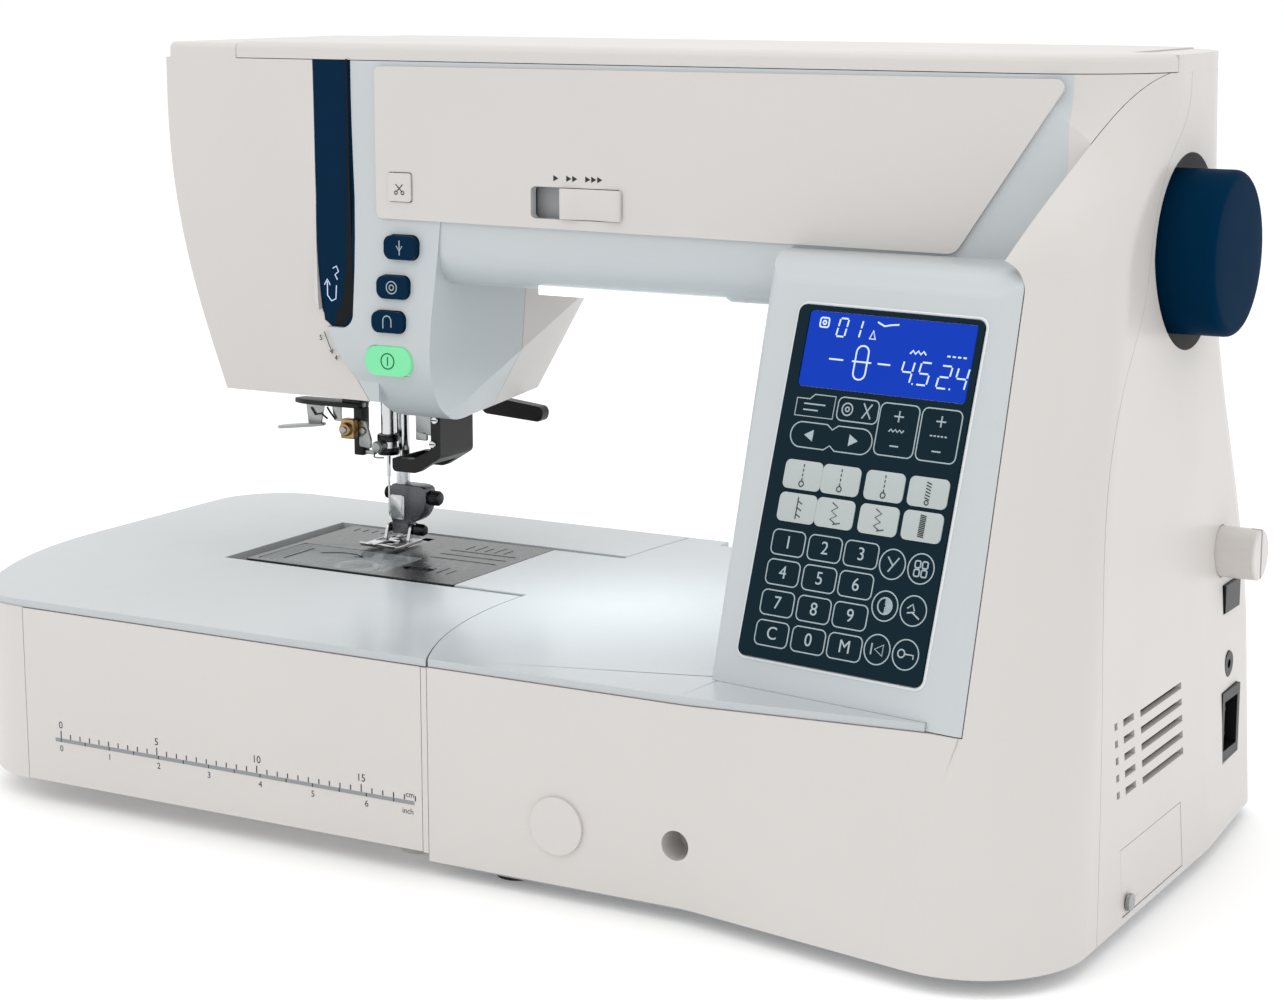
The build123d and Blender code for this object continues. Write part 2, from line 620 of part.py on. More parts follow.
def table_feet():
    """Feet moulded under the table's floor."""
    feet = rod("z", (-20, 105, 0), 7, TABLE_Z0 + 1)
    for x, y in ((-20, -88), (-235, -30), (-235, 105)):
        feet += rod("z", (x, y, 0), 7, TABLE_Z0 + 1)
    return feet


def table_top():
    """Pale sewing surface of the table."""
    plate = slab(inset(table_outline(RIM), 0.7), RIM, TABLE_TOP)
    plate -= block(SLOT_END, 10, ARM_Y0 - SLOT_GAP, ARM_Y1 + SLOT_GAP, 80, 90)
    front = ThreePointArc((SEAM_X - GAP, FRONT), (-17.5 - GAP, -62), (-22.5 - GAP, ARM_Y0))
    back = ThreePointArc((-22.5 - GAP, ARM_Y1), (-21 - GAP, 103), (-18 - GAP, BACK))
    beside = make_face(Wire([
        front, Line(front @ 1, back @ 0), back, Line(back @ 1, (30, BACK)), Line((30, BACK), (30, FRONT)),
        Line((30, FRONT), front @ 0),
    ]))
    return main_solid(plate - extrude(Pos(0, 0, 80) * beside, 10, dir=(0, 0, 1)))


def table_door():
    """Drop-down front of the table, hinged on two stubs near its lower edge."""
    door = block(DOOR_X0, DOOR_X1, FRONT, FRONT + WALL, TABLE_Z0 + 0.3, RIM - 0.3)
    door += rod("x", (DOOR_X0, *DOOR_PIVOT), 2.2, DOOR_X1 - DOOR_X0)
    return door + rod("x", (DOOR_X0 - 2.6, *DOOR_PIVOT), STUB_R, DOOR_X1 - DOOR_X0 + 4.6)


# ---- lid, caps and top tray ---------------------------------------------------------------
def top_outline(x0):
    """Plan of the machine's top from x0 to the right side."""
    return [
        (x0, ARM_FRONT, 0), (SIDE_X, ARM_FRONT, 45), (SIDE_X - 0.3, 46, 100), (SIDE_X - 1.5, ARM_BACK - GAP, 46),
        (x0, ARM_BACK - GAP, 0),
    ]


def lid():
    """Long lid over the spool well, hinged along its rear edge."""
    low, high = ARM_TOP + GAP, LID_TOP
    shell = fillet(slab(top_outline(LID_X0), low, high).faces().sort_by(Axis.Z)[-1].edges(), 3.2)
    shell -= slab(inset(top_outline(LID_X0), 3.0), low - 1, high - 2.6)
    shell -= block(CAP_X0 - GAP, 260, 20 - GAP, 120, 290, 320)
    shell += block(CAP_X0 - GAP - 3, CAP_X0 - GAP, 20, ARM_BACK - 3, low, high - 2)
    shell += block(CAP_X0 - 3, SIDE_X - 3, 20 - GAP - 3, 20 - GAP, low, high - 2)
    for x0, x1 in HINGE_AT:
        shell -= block(x0 - 4 - 2 * GAP, x1 + 4 + 2 * GAP, HINGE_Y - 3, HINGE_Y + 9, 300, 310)
        eye = rod("x", (x0, HINGE_Y, HINGE_Z), 2.2, x1 - x0)
        shell += eye + block(x0, x1, HINGE_Y - 6, HINGE_Y, low + 0.9, HINGE_Z + 2)
        shell -= rod("x", (x0 - 1, HINGE_Y, HINGE_Z), PIN_R + 0.05, x1 - x0 + 2)
    return main_solid(shell)


def top_caps():
    """Fixed caps at both ends of the lid."""
    left = [(-190.0, ARM_FRONT, 4), (LID_X0 - GAP, ARM_FRONT, 0), (LID_X0 - GAP, ARM_BACK, 0), (-190.0, ARM_BACK, 4)]
    cap = fillet(slab(left, ARM_TOP, LID_TOP - 0.6).faces().sort_by(Axis.Z)[-1].edges(), 2.6)
    corner = slab(top_outline(100), ARM_TOP, LID_TOP - 0.6) & block(CAP_X0, 260, 20, 120, 290, 320)
    return Compound(children=[main_solid(cap), main_solid(corner)])


def top_tray():
    """Well under the lid, with a shallow shelf over the head."""
    y0, y1 = ARM_FRONT + WALL + 0.5, ARM_BACK - WALL - 0.5
    tray = block(TRAY_X0, TRAY_X1, y0, y1, TRAY_Z, ARM_TOP - 0.3)
    tray -= block(TRAY_X0 + 2, TRAY_X1 - 2, y0 + 2, y1 - 2, TRAY_Z + 2, ARM_TOP)
    tray += block(LID_X0 + 3, TRAY_X0 + 1, y0, y1, ARM_TOP - 3.3, ARM_TOP - 0.3)
    tray += block(SPOOL_X1, SPOOL_X1 + 4, SPOOL_Y - 8, SPOOL_Y + 8, TRAY_Z + 1, SPOOL_Z + 6)
    tray += rod("z", (WINDER_X, WINDER_Y, TRAY_Z + 1), 9, 3)
    return tray - rod("z", (WINDER_X, WINDER_Y, TRAY_Z - 1), 3.05, 20)


def spool_pin():
    """Horizontal pin that carries the thread spool."""
    pin = rod("x", (SPOOL_X0, SPOOL_Y, SPOOL_Z), 3, SPOOL_X1 - SPOOL_X0)
    return pin + rod("x", (SPOOL_X1 - 4, SPOOL_Y, SPOOL_Z), 9, 4)


def winder_spindle():
    """Upright spindle that winds bobbins."""
    spindle = rod("z", (WINDER_X, WINDER_Y, TRAY_Z - 8), 3, 36)
    return spindle + rod("z", (WINDER_X, WINDER_Y, TRAY_Z + 4.3), 8, 2)


# ---- frame, shafts and drive --------------------------------------------------------------
def cast_frame():
    """Cast frame: two uprights, arm beam, bed beam and the head's two shelves."""
    frame = block(113, 204, -8, 88, 8, 20)
    for x0, x1 in UPRIGHTS:
        frame += block(x0, x1, -8, 88, 20, 262)
    frame += block(113, 204, 80, 88, 20, 262)
    frame += block(-150, 121, 80, 88, 224, 262)
    frame += block(HEAD_PLATE[0], HEAD_PLATE[1], 20, 88, 224, 276)
    frame += block(-136, -119, 40, 88, 222, 228)
    frame += block(-136, -119, 76, 88, 168, 230)
    frame += block(-136, -112, 40, 80, 168, 176)
    frame += block(-143, -130, 41, 51, 168, 176) + block(-143, -130, 41, 51, 222, 228)
    frame += block(-130, -118, 84, 90, 151, 170)
    frame += block(-165, 121, 64, 72, 40, 78)
    frame += block(-112, -104, 12, 66, 37, 52)
    frame += block(-140, -127, 14, 66, 42, 53)
    for x0, x1 in BUSH_AT:
        frame -= rod("x", (x0 - 1, SHAFT_Y, SHAFT_Z), BUSH_R, x1 - x0 + 2)
    frame -= rod("x", (-130, LOWER_Y, LOWER_Z), 4.05, 400)
    frame -= rod("z", (HOOK_X, LOWER_Y, 30), 3.05, 60)
    frame -= rod("z", (NEEDLE_X, NEEDLE_Y, 150), BAR_R + 0.05, 100)
    frame -= rod("z", (PRESSER_X, PRESSER_Y, 150), BAR_R + 0.05, 100)
    frame -= rod("z", (THREADER_X, THREADER_Y, 150), 2.05, 100)
    frame -= rod("x", (190, MOTOR_Y, MOTOR_Z), 4, 20)
    frame -= rod("x", (TAKE_X1, TAKE_Y, TAKE_Z), 2.4, 6) + rod("y", (LIFT_X, 83, LIFT_Z), 2.4, 8)
    for x, y in SCREW_AT:
        frame -= rod("z", (x, y, 0), SCREW_R, 18)
    return main_solid(frame)


def shaft_bushes():
    """Bronze bushes that carry the main shaft."""
    bushes = [tube("x", (x0, SHAFT_Y, SHAFT_Z), BUSH_R, SHAFT_R + 0.05, x1 - x0) for x0, x1 in BUSH_AT]
    return Compound(children=bushes)


def main_shaft():
    """Main shaft with its crank disc and crank pin in the head."""
    shaft = rod("x", (CRANK_X, SHAFT_Y, SHAFT_Z), SHAFT_R, 258 - CRANK_X)
    shaft += rod("x", (CRANK_X, SHAFT_Y, SHAFT_Z), CRANK_R + 3, 6)
    return shaft + rod("x", (CRANK_X - 5.5, SHAFT_Y, SHAFT_Z + CRANK_R), 2, 6)


def connecting_link():
    """Link that hangs from the crank pin beside the needle bar."""
    top, low = SHAFT_Z + CRANK_R, SHAFT_Z + CRANK_R - LINK
    x = CRANK_X - 5.3
    bar = block(x, x + 3, SHAFT_Y - 3, SHAFT_Y + 3, low, top)
    for z in (top, low):
        bar += rod("x", (x, SHAFT_Y, z), 4.5, 3)
    bar -= rod("x", (x - 1, SHAFT_Y, top), 2.05, 5)
    return bar - rod("x", (x - 1, SHAFT_Y, low), 2.05, 5)


def hand_wheel():
    """Hand wheel with its belt pulley on one hub."""
    wheel = rod("x", (231, SHAFT_Y, SHAFT_Z), WHEEL_R, 30)
    wheel = fillet(wheel.faces().sort_by(Axis.X)[-1].edges(), 4)
    wheel -= tube("x", (230, SHAFT_Y, SHAFT_Z), WHEEL_R - 4, 10, 24)
    wheel += rod("x", (PULLEY_X0, SHAFT_Y, SHAFT_Z), 6.8, 230 + 2 - PULLEY_X0)
    wheel += rod("x", (PULLEY_X0, SHAFT_Y, SHAFT_Z), PULLEY_R, 16)
    return wheel - rod("x", (PULLEY_X0 - 1, SHAFT_Y, SHAFT_Z), SHAFT_R, 259 - PULLEY_X0)


def belt(x0, x1, first, second):
    """Closed belt round two pulleys, each (y, z, radius)."""
    faces = []
    for grow in (1.8, 0.1):
        (ya, za, ra), (yb, zb, rb) = first, second
        ra, rb = ra + grow, rb + grow
        a, b = Vector(ya, za), Vector(yb, zb)
        along = (b - a).normalized()
        across = Vector(-along.Y, along.X)
        lean = (ra - rb) / (b - a).length
        flat = math.sqrt(1 - lean * lean)
        left = along * lean + across * flat
        right = along * lean - across * flat
        outline = Wire([
            Line(a + left * ra, b + left * rb), ThreePointArc(b + left * rb, b + along * rb, b + right * rb),
            Line(b + right * rb, a + right * ra), ThreePointArc(a + right * ra, a - along * ra, a + left * ra),
        ])
        faces.append(make_face(outline))
    loop = extrude(faces[0] - faces[1], x1 - x0, dir=(0, 0, 1))
    return Pos(x0, 0, 0) * (Rot(0, 0, 90) * Rot(90, 0, 0) * loop)


def drive_belts():
    """Timing belt to the lower shaft and belt from the motor."""
    shaft = (SHAFT_Y, SHAFT_Z, PULLEY_R)
    timing = belt(PULLEY_X0 + 0.5, PULLEY_X0 + 7, shaft, (LOWER_Y, LOWER_Z, PULLEY_R))
    drive = belt(PULLEY_X0 + 9, PULLEY_X0 + 15.5, shaft, (MOTOR_Y, MOTOR_Z, MOTOR_PULLEY_R))
    return Compound(children=[main_solid(timing), main_solid(drive)])


def motor():
    """Motor bolted to the right upright."""
    body = fillet(rod("x", (150, MOTOR_Y, MOTOR_Z), 24, 42).edges(), 3)
    body += rod("x", (192, MOTOR_Y, MOTOR_Z), 11, 4)
    return body - rod("x", (180, MOTOR_Y, MOTOR_Z), 2.55, 20)


def motor_pulley():
    """Motor shaft with its small pulley."""
    shaft = rod("x", (182, MOTOR_Y, MOTOR_Z), 2.5, PULLEY_X0 + 16 - 182)
    return shaft + rod("x", (PULLEY_X0 + 8.5, MOTOR_Y, MOTOR_Z), MOTOR_PULLEY_R, 7.5)


def lower_shaft():
    """Lower shaft with its pulley and the hook's drive gear."""
    shaft = rod("x", (-125, LOWER_Y, LOWER_Z), 4, PULLEY_X0 + 8 + 125)
    shaft += rod("x", (PULLEY_X0, LOWER_Y, LOWER_Z), PULLEY_R, 7.5)
    shaft += rod("x", (-125, LOWER_Y, LOWER_Z), 11, 4)
    for i in range(24):
        tooth = block(-125, -121, -0.5, 0.5, 10, 12.5)
        shaft += Pos(0, LOWER_Y, LOWER_Z) * Rot(15 * i + 7.5, 0, 0) * tooth
    return shaft


def rotary_hook():
    """Horizontal rotary hook: cup, shaft and drive gear."""
    hook = rod("z", (HOOK_X, LOWER_Y, 60), 19, 20) - rod("z", (HOOK_X, LOWER_Y, 61.5), 17.5, 20)
    hook += rod("z", (HOOK_X, LOWER_Y, 44), 3, 17)
    hook += rod("z", (HOOK_X, LOWER_Y, 55.2), 5, 3)
    for i in range(12):
        tooth = block(4, 6.8, -0.5, 0.5, 55.4, 58.2)
        hook += Pos(HOOK_X, LOWER_Y, 0) * Rot(0, 0, 30 * i) * tooth
    hook -= Pos(HOOK_X, LOWER_Y, 0) * Rot(0, 0, 70) * block(15, 20, -6, 6, 70, 81)
    return hook


def bobbin_case():
    """Still basket inside the hook that holds the bobbin."""
    case = rod("z", (HOOK_X, LOWER_Y, 63), 16.8, 16.4) - rod("z", (HOOK_X, LOWER_Y, 65), 11.5, 20)
    return case - rod("z", (HOOK_X, LOWER_Y, 76), 15, 10)


def bobbin():
    """Clear bobbin."""
    body = tube("z", (HOOK_X, LOWER_Y, 65.4), 10.2, 3, 11)
    return body - tube("z", (HOOK_X, LOWER_Y, 66.6), 12, 5, 8.6)


# ---- needle area --------------------------------------------------------------------------
def needle_bar():
    """Needle bar with its collar and needle clamp."""
    bar = rod("z", (NEEDLE_X, NEEDLE_Y, 130), BAR_R, 132)
    bar += block(-131, -119, NEEDLE_Y - 5.5, NEEDLE_Y + 5.5, 209, 217)
    bar += rod("z", (NEEDLE_X, NEEDLE_Y, 127), 4.6, 9) + rod("y", (NEEDLE_X, NEEDLE_Y - 9, 131.5), 2, 6)
    return bar - rod("z", (NEEDLE_X, NEEDLE_Y, 120), 0.9, 16)


def needle():
    """Sewing needle with a thick shank and a fine point."""
    shank = rod("z", (NEEDLE_X, NEEDLE_Y, 117), 0.9, 19)
    blade = rod("z", (NEEDLE_X, NEEDLE_Y, 101), 0.5, 16)
    point = Pos(NEEDLE_X, NEEDLE_Y, 99) * Cone(0.1, 0.5, 2, align=(Align.CENTER, Align.CENTER, Align.MIN))
    return shank + blade + point


def presser_bar():
    """Presser bar with its lifting collar."""
    bar = rod("z", (PRESSER_X, PRESSER_Y, 104), BAR_R, 140)
    return bar + rod("z", (PRESSER_X, PRESSER_Y, 190), 4.2, 8)


def foot_holder():
    """Holder screwed on the presser bar, with the pin the foot snaps on."""
    holder = block(-129.5, -119.5, 53.2, 63, 95, 112) - rod("z", (PRESSER_X, PRESSER_Y, 104), BAR_R, 20)
    holder += block(-129.5, -119.5, 53.2, 58, 90, 95)
    holder += rod("x", (-119.6, 58, 106), 3.6, 7)
    return holder - rod("x", (-135, FOOT_Y, FOOT_Z), 1.2, 20) + rod("x", (-131.5, FOOT_Y, FOOT_Z), 1.2, 14)


def presser_foot():
    """Zigzag foot with two toes and a pair of ears on the holder's pin."""
    z0 = TABLE_TOP + 0.8
    sole = block(-134, -116, 35.2, 58.5, z0, z0 + 1.8)
    sole -= block(-129, -121, 42.5, 50.5, z0 - 1, z0 + 3)
    sole -= block(-126.2, -123.8, 30, 44, z0 - 1, z0 + 3)
    for x in (-132.4, -118.8):
        sole += block(x, x + 2.2, 52, 58.3, z0 + 1, FOOT_Z + 2.4)
    return sole - rod("x", (-135, FOOT_Y, FOOT_Z), 1.25, 20)


def presser_lifter():
    """Black lever behind the head that raises the foot."""
    hub = rod("y", (LIFT_X, 105.5, LIFT_Z), 5.5, 5.5)
    outline = [(-128, 161, 2), (-126.5, 153.5, 2), (-112, 138, 4), (-82, 136.2, 3), (-80, 143, 3), (-109, 146, 6),
               (-119.5, 160.5, 2)]
    lever = hub + front_prism(outline, 105.5, 111)
    return lever - rod("y", (LIFT_X, 100, LIFT_Z), 2.55, 20)


def hinge_pins():
    """Fixed pins: two for the lid, one for the lifter lever, one for the take-up lever."""
    pins = [rod("x", (x0 - 4, HINGE_Y, HINGE_Z), PIN_R, x1 - x0 + 8) for x0, x1 in HINGE_AT]
    pins.append(rod("y", (LIFT_X, 84, LIFT_Z), 2.4, 22) + rod("y", (LIFT_X, 103, LIFT_Z), 2.5, 9))
    pins.append(rod("x", (TAKE_X0 - 1.5, TAKE_Y, TAKE_Z), 2.4, TAKE_X1 + 5 - TAKE_X0 + 1.5))
    return Compound(children=pins)


def take_up_lever():
    """Lever that pulls the thread up, seen in the head's slot."""
    arm = side_prism([
        (TAKE_Y + 6, TAKE_Z - 5, 3), (TAKE_Y + 6, TAKE_Z + 5, 3), (-12, 287, 3), (-12, 279, 3), (20, 270, 8),
    ], TAKE_X0, TAKE_X1 - 0.4)
    arm -= rod("x", (TAKE_X0 - 1, TAKE_Y, TAKE_Z), 2.45, 8)
    return arm - rod("x", (TAKE_X0 - 1, -8, 283), 1.5, 8)


def needle_threader():
    """Threader rod with its finger tab and hook end."""
    rod_part = rod("z", (THREADER_X, THREADER_Y, 126), 2, 133)
    tab = block(-160, THREADER_X, THREADER_Y - 2.5, THREADER_Y + 2.5, 144, 148)
    hook = block(THREADER_X, -131.5, THREADER_Y - 2.5, THREADER_Y + 2.5, 126, 131)
    return rod_part + tab + hook + rod("z", (THREADER_X, THREADER_Y, 255), 3.4, 4)


def guard_bracket():
    """Black U-shaped bracket that hangs beside the bars."""
    outline = [(-118.6, 121, 2), (-106, 121, 6), (-93, 129, 3), (-93, 152, 1), (-98, 152, 1), (-98, 132, 3),
               (-108, 127, 5), (-118.6, 127, 1)]
    plate = front_prism(outline, 40, 66)
    plate -= block(-117, -99, 44, 62, 119, 128)
    return main_solid(plate + block(-98, -93, 44, 62, 150, 168) + block(-114, -93, 44, 62, 165, 168))


def needle_plate():
    """Steel plate over the hook, with needle and feed slots and the cover's opening."""
    plate = block(PLATE_X0, PLATE_X1, ARM_Y0, ARM_Y1, RIM, TABLE_TOP)
    x0, x1, y0, y1 = COVER_AT
    plate -= block(x0 - GAP, x1 + GAP, y0 - GAP, y1 + GAP, RIM - 1, TABLE_TOP + 1)
    plate -= oval_slot(NEEDLE_X, NEEDLE_Y, 10, 2.6)
    for x in FEED_X:
        plate -= block(x - 2.4, x + 2.4, 47.5, 70.5, RIM - 1, TABLE_TOP + 1)
    x, y = RELEASE_AT
    return plate - oval_slot(x, y, RELEASE_SIZE[0] + 6, RELEASE_SIZE[1] + 0.6)


def oval_slot(x, y, length, width, z0=80.0, z1=90.0):
    """Round-ended upright prism along X."""
    reach = (length - width) / 2
    body = block(x - reach, x + reach, y - width / 2, y + width / 2, z0, z1)
    return body + rod("z", (x - reach, y, z0), width / 2, z1 - z0) + rod("z", (x + reach, y, z0), width / 2, z1 - z0)


def bobbin_cover():
    """Clear cover over the bobbin."""
    x0, x1, y0, y1 = COVER_AT
    cover = slab([(x0, y0, 2), (x1, y0, 2), (x1, y1, 2), (x0, y1, 2)], 82.4, TABLE_TOP - 0.1)
    return cover


def plate_release():
    """Small oval slide beside the bobbin cover."""
    x, y = RELEASE_AT
    return oval_slot(x, y, *RELEASE_SIZE, 81.9, TABLE_TOP - 0.3)


def feed_dogs():
    """Toothed feeders on their carrier under the plate."""
    dogs = block(-136, -114, 52, 60, 78.8, 80.8)
    for x in FEED_X:
        bar = block(x - 1.6, x + 1.6, 51, 67, 78.8, 83.6)
        for i in range(8):
            bar += block(x - 1.6, x + 1.6, 51 + 2 * i, 52 + 2 * i, 83, 84.5)
        dogs += bar
    return dogs


# ---- controls -----------------------------------------------------------------------------
def panel_plane():
    """Plane of the leaning keypad face, X across and Y up the slope."""
    return Plane(origin=PANEL_AT, x_dir=(1, PANEL_YAW, 0), z_dir=(PANEL_YAW, -1, PANEL_LEAN))


def panel_slab(x0, x1, y0, y1, corner, thick, low=0.0):
    """Plate that lies on the keypad face."""
    outline = [(x0, y0, corner), (x1, y0, corner), (x1, y1, corner), (x0, y1, corner)]
    return panel_plane() * slab(outline, low, low + thick)


def keypad():
    """Membrane keypad with its bezel round the display."""
    x0, x1, y0, y1 = LCD_AT
    pad = panel_slab(-39.2, 39.2, -64.5, 64.5, 3, 1.2)
    return pad - panel_slab(x0 - GAP, x1 + GAP, y0 - GAP, y1 + GAP, 1.5, 6, -2)


def lcd_window():
    """Display behind its clear window."""
    x0, x1, y0, y1 = LCD_AT
    return panel_slab(x0, x1, y0, y1, 1.2, 1.0)


def circuit_boards():
    """Main board behind the keypad, lamp board in the arm and power board in the base."""
    main = block(123, 194, -50, -48.4, 100, 205)
    lamp = block(LENS[0] + 1, LENS[1] - 1, LENS[2] + 1, LENS[3] - 1, 216.2, 217.8)
    power = block(30, 100, 85, 118, 12, 13.6)
    return Compound(children=[main, lamp, power])


def led_lens():
    """Lamp lens under the arm's front edge."""
    x0, x1, y0, y1 = LENS
    points = [(x0, y0, 2), (x1, y0, 2), (x1, y1, 2), (x0, y1, 2)]
    return slab(points, 210.8, 214.4)


def push_button(name):
    """One push button with its skirt behind the wall."""
    x0, x1, z0, z1 = BUTTONS[name]
    corner = 5.5 if name == "start_button" else 3.5
    if name == "cutter_button":
        corner = 1.2
    return oblong_front(x0, x1, z0, z1, corner, BUTTON_FACE[name], -13)


def speed_slider():
    """Speed slider knob."""
    return oblong_front(*SLIDER, 2, -22.0, -13)


def balance_dial():
    """Feed balance dial that sticks out of the side."""
    dial = rod("x", (238, DIAL_Y, DIAL_Z), DIAL_R, 24)
    dial = fillet(dial.faces().sort_by(Axis.X)[-1].edges(), 1)
    return dial - block(258, 263, DIAL_Y - 0.9, DIAL_Y + 0.9, DIAL_Z - 12, DIAL_Z + 12)


def power_rocker():
    """Rocker of the mains switch."""
    y0, y1, z0, z1 = ROCKER
    axle = rod("z", (243, (y0 + y1) / 2, z0), 3, z1 - z0)
    return block(241.5, 248.6, y0, y1, z0, z1) + axle


def rear_sockets():
    """Mains inlet with two pins, and the round pedal jack."""
    y0, y1, z0, z1 = INLET
    inlet = block(236, 250.6, y0, y1, z0, z1) - block(240, 252, y0 + 3, y1 - 3, z0 + 4, z1 - 4)
    for z in (z0 + 9, z1 - 9):
        inlet += rod("x", (239, (y0 + y1) / 2, z), 1.2, 9)
    jack = tube("x", (236, JACK[0], JACK[1]), JACK_R, 1.8, 13.4)
    return Compound(children=[main_solid(inlet), jack])


def front_cap():
    """Round cap on the bed's front."""
    cap = rod("y", (CAP_X, FRONT - 1.2, CAP_Z), CAP_R, 1.2)
    return cap + rod("y", (CAP_X, FRONT, CAP_Z), CAP_R - 2.5, 5)


def screw_hole():
    """Hole for the hatch screw."""
    return rod("x", (230, HATCH_SCREW[0], HATCH_SCREW[1]), SCREW_R, 40)


def housing_screws():
    """Screws through the floor into the frame, and the hatch screw."""
    screws = []
    for x, y in SCREW_AT:
        screws.append(rod("z", (x, y, 2.4), 3.4, 1.6) + rod("z", (x, y, 3), SCREW_R, 14.8))
    y, z = HATCH_SCREW
    screws.append(rod("x", (255.2, y, z), 3.2, 1.4) + rod("x", (246, y, z), SCREW_R, 10))
    return Compound(children=screws)


def build():
    """Every sub-part by its node name."""
    parts = covers()
    makers = [
        arm_panel, bed_top, free_arm_cover, base_plate, rubber_feet, table_body, table_top, table_door,
        lid, top_caps, top_tray, spool_pin, winder_spindle, cast_frame, shaft_bushes, main_shaft,
        connecting_link, hand_wheel, drive_belts, motor, motor_pulley, lower_shaft, rotary_hook,
        bobbin_case, bobbin, needle_bar, needle, presser_bar, foot_holder, presser_foot,
        presser_lifter, hinge_pins, take_up_lever, needle_threader, guard_bracket, needle_plate,
        bobbin_cover, plate_release, feed_dogs, keypad, lcd_window, circuit_boards, led_lens,
        speed_slider, balance_dial, power_rocker, rear_sockets, front_cap, housing_screws,
    ]
    for make in makers:
        parts[make.__name__] = make()
    for name in BUTTONS:
        parts[name] = push_button(name)
    return parts


if __name__ == "__main__":
    os.makedirs("parts", exist_ok=True)
    for name, body in build().items():
        export_step(body, f"parts/{name}.step")
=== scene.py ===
import math

import bmesh
import bpy
from mathutils import Matrix, Vector


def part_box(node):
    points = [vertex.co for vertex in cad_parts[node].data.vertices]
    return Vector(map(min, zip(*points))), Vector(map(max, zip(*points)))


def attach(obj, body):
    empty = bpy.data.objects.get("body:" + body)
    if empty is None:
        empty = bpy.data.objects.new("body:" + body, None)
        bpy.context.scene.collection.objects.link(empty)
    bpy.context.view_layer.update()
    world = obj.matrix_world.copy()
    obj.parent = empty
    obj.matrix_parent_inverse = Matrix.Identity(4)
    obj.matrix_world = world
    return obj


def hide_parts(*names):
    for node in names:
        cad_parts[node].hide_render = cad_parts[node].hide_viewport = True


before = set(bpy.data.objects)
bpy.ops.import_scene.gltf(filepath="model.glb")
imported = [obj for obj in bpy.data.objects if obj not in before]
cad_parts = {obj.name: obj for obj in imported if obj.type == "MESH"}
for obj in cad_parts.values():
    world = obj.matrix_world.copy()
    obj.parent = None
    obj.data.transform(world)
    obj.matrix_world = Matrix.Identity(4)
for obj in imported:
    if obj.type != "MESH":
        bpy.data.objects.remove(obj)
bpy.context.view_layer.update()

# Looks of the computerised sewing machine. The scene is in metres. Drawing points, radii and
# thicknesses are given in millimetres; only the bevels passed to from_bmesh() are in metres.
MM = 0.001


def mm(x, y, z):
    """A point given in millimetres."""
    return Vector((x, y, z)) * MM


# ---- places read from the frame -------------------------------------------------------------
def low(node):
    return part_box(node)[0]


def high(node):
    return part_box(node)[1]


def middle(node):
    return (low(node) + high(node)) / 2


# ---- camera, lights, floor ------------------------------------------------------------------
CAMERA_AT = mm(558.9, -934.3, 339.1)
CAMERA_TURN = math.radians(29.5)
CAMERA_DOWN = math.radians(11.07)
LENS_MM = 76.4


def camera():
    """Camera in front of the machine and to its right, looking a little down."""
    data = bpy.data.cameras.new("camera")
    data.lens = LENS_MM
    data.sensor_width = 36.0
    data.clip_end = 60.0
    cam = bpy.data.objects.new("camera", data)
    bpy.context.scene.collection.objects.link(cam)
    flat = math.cos(CAMERA_DOWN)
    look = Vector((-math.sin(CAMERA_TURN) * flat, math.cos(CAMERA_TURN) * flat, -math.sin(CAMERA_DOWN)))
    cam.location = CAMERA_AT
    cam.rotation_euler = look.to_track_quat("-Z", "Y").to_euler()
    bpy.context.scene.camera = cam


def area_light(name, at, aim, size, watts, colour=(1, 1, 1), spread=180):
    """Rectangular light at a point, aimed at another; spread is in degrees."""
    data = bpy.data.lights.new(name, "AREA")
    data.shape = "RECTANGLE"
    data.size, data.size_y = size
    data.energy = watts
    data.color = colour
    data.spread = math.radians(spread)
    light = bpy.data.objects.new(name, data)
    bpy.context.scene.collection.objects.link(light)
    light.location = at
    light.rotation_euler = (Vector(aim) - Vector(at)).to_track_quat("-Z", "Y").to_euler()
    return light


KEY_WATTS = 6
SIDE_WATTS = 2.5
OVERHEAD_WATTS = 13
LAMP_WATTS = 0.08
LAMP_SIZE = (0.07, 0.012)
LAMP_SPREAD = 125


def studio():
    """White surroundings, three large soft lights and the machine's own small lamp."""
    world = bpy.data.worlds.new("studio")
    world.use_nodes = True
    back = world.node_tree.nodes["Background"]
    back.inputs["Color"].default_value = (1.0, 1.0, 1.0, 1)
    back.inputs["Strength"].default_value = 1.0
    bpy.context.scene.world = world
    bpy.context.scene.view_settings.view_transform = "Standard"
    area_light("key", (-0.9, -1.5, 1.9), (0, 0, 0.1), (1.6, 1.2), KEY_WATTS)
    area_light("right_side", (2.2, -0.3, 1.3), (0.1, 0, 0.12), (1.4, 1.4), SIDE_WATTS)
    area_light("overhead", (0.0, 0.35, 2.4), (0, 0, 0), (2.6, 2.0), OVERHEAD_WATTS)
    lamp = middle("led_lens")
    under_lens = (lamp.x, lamp.y, low("led_lens").z - 0.004)
    area_light("sewing_lamp", under_lens, (lamp.x - 0.02, 0.02, 0), LAMP_SIZE, LAMP_WATTS,
               (0.92, 0.97, 1.0), LAMP_SPREAD)


FLOOR_TONE = 0.90
FLOOR_GLOW = 0.14


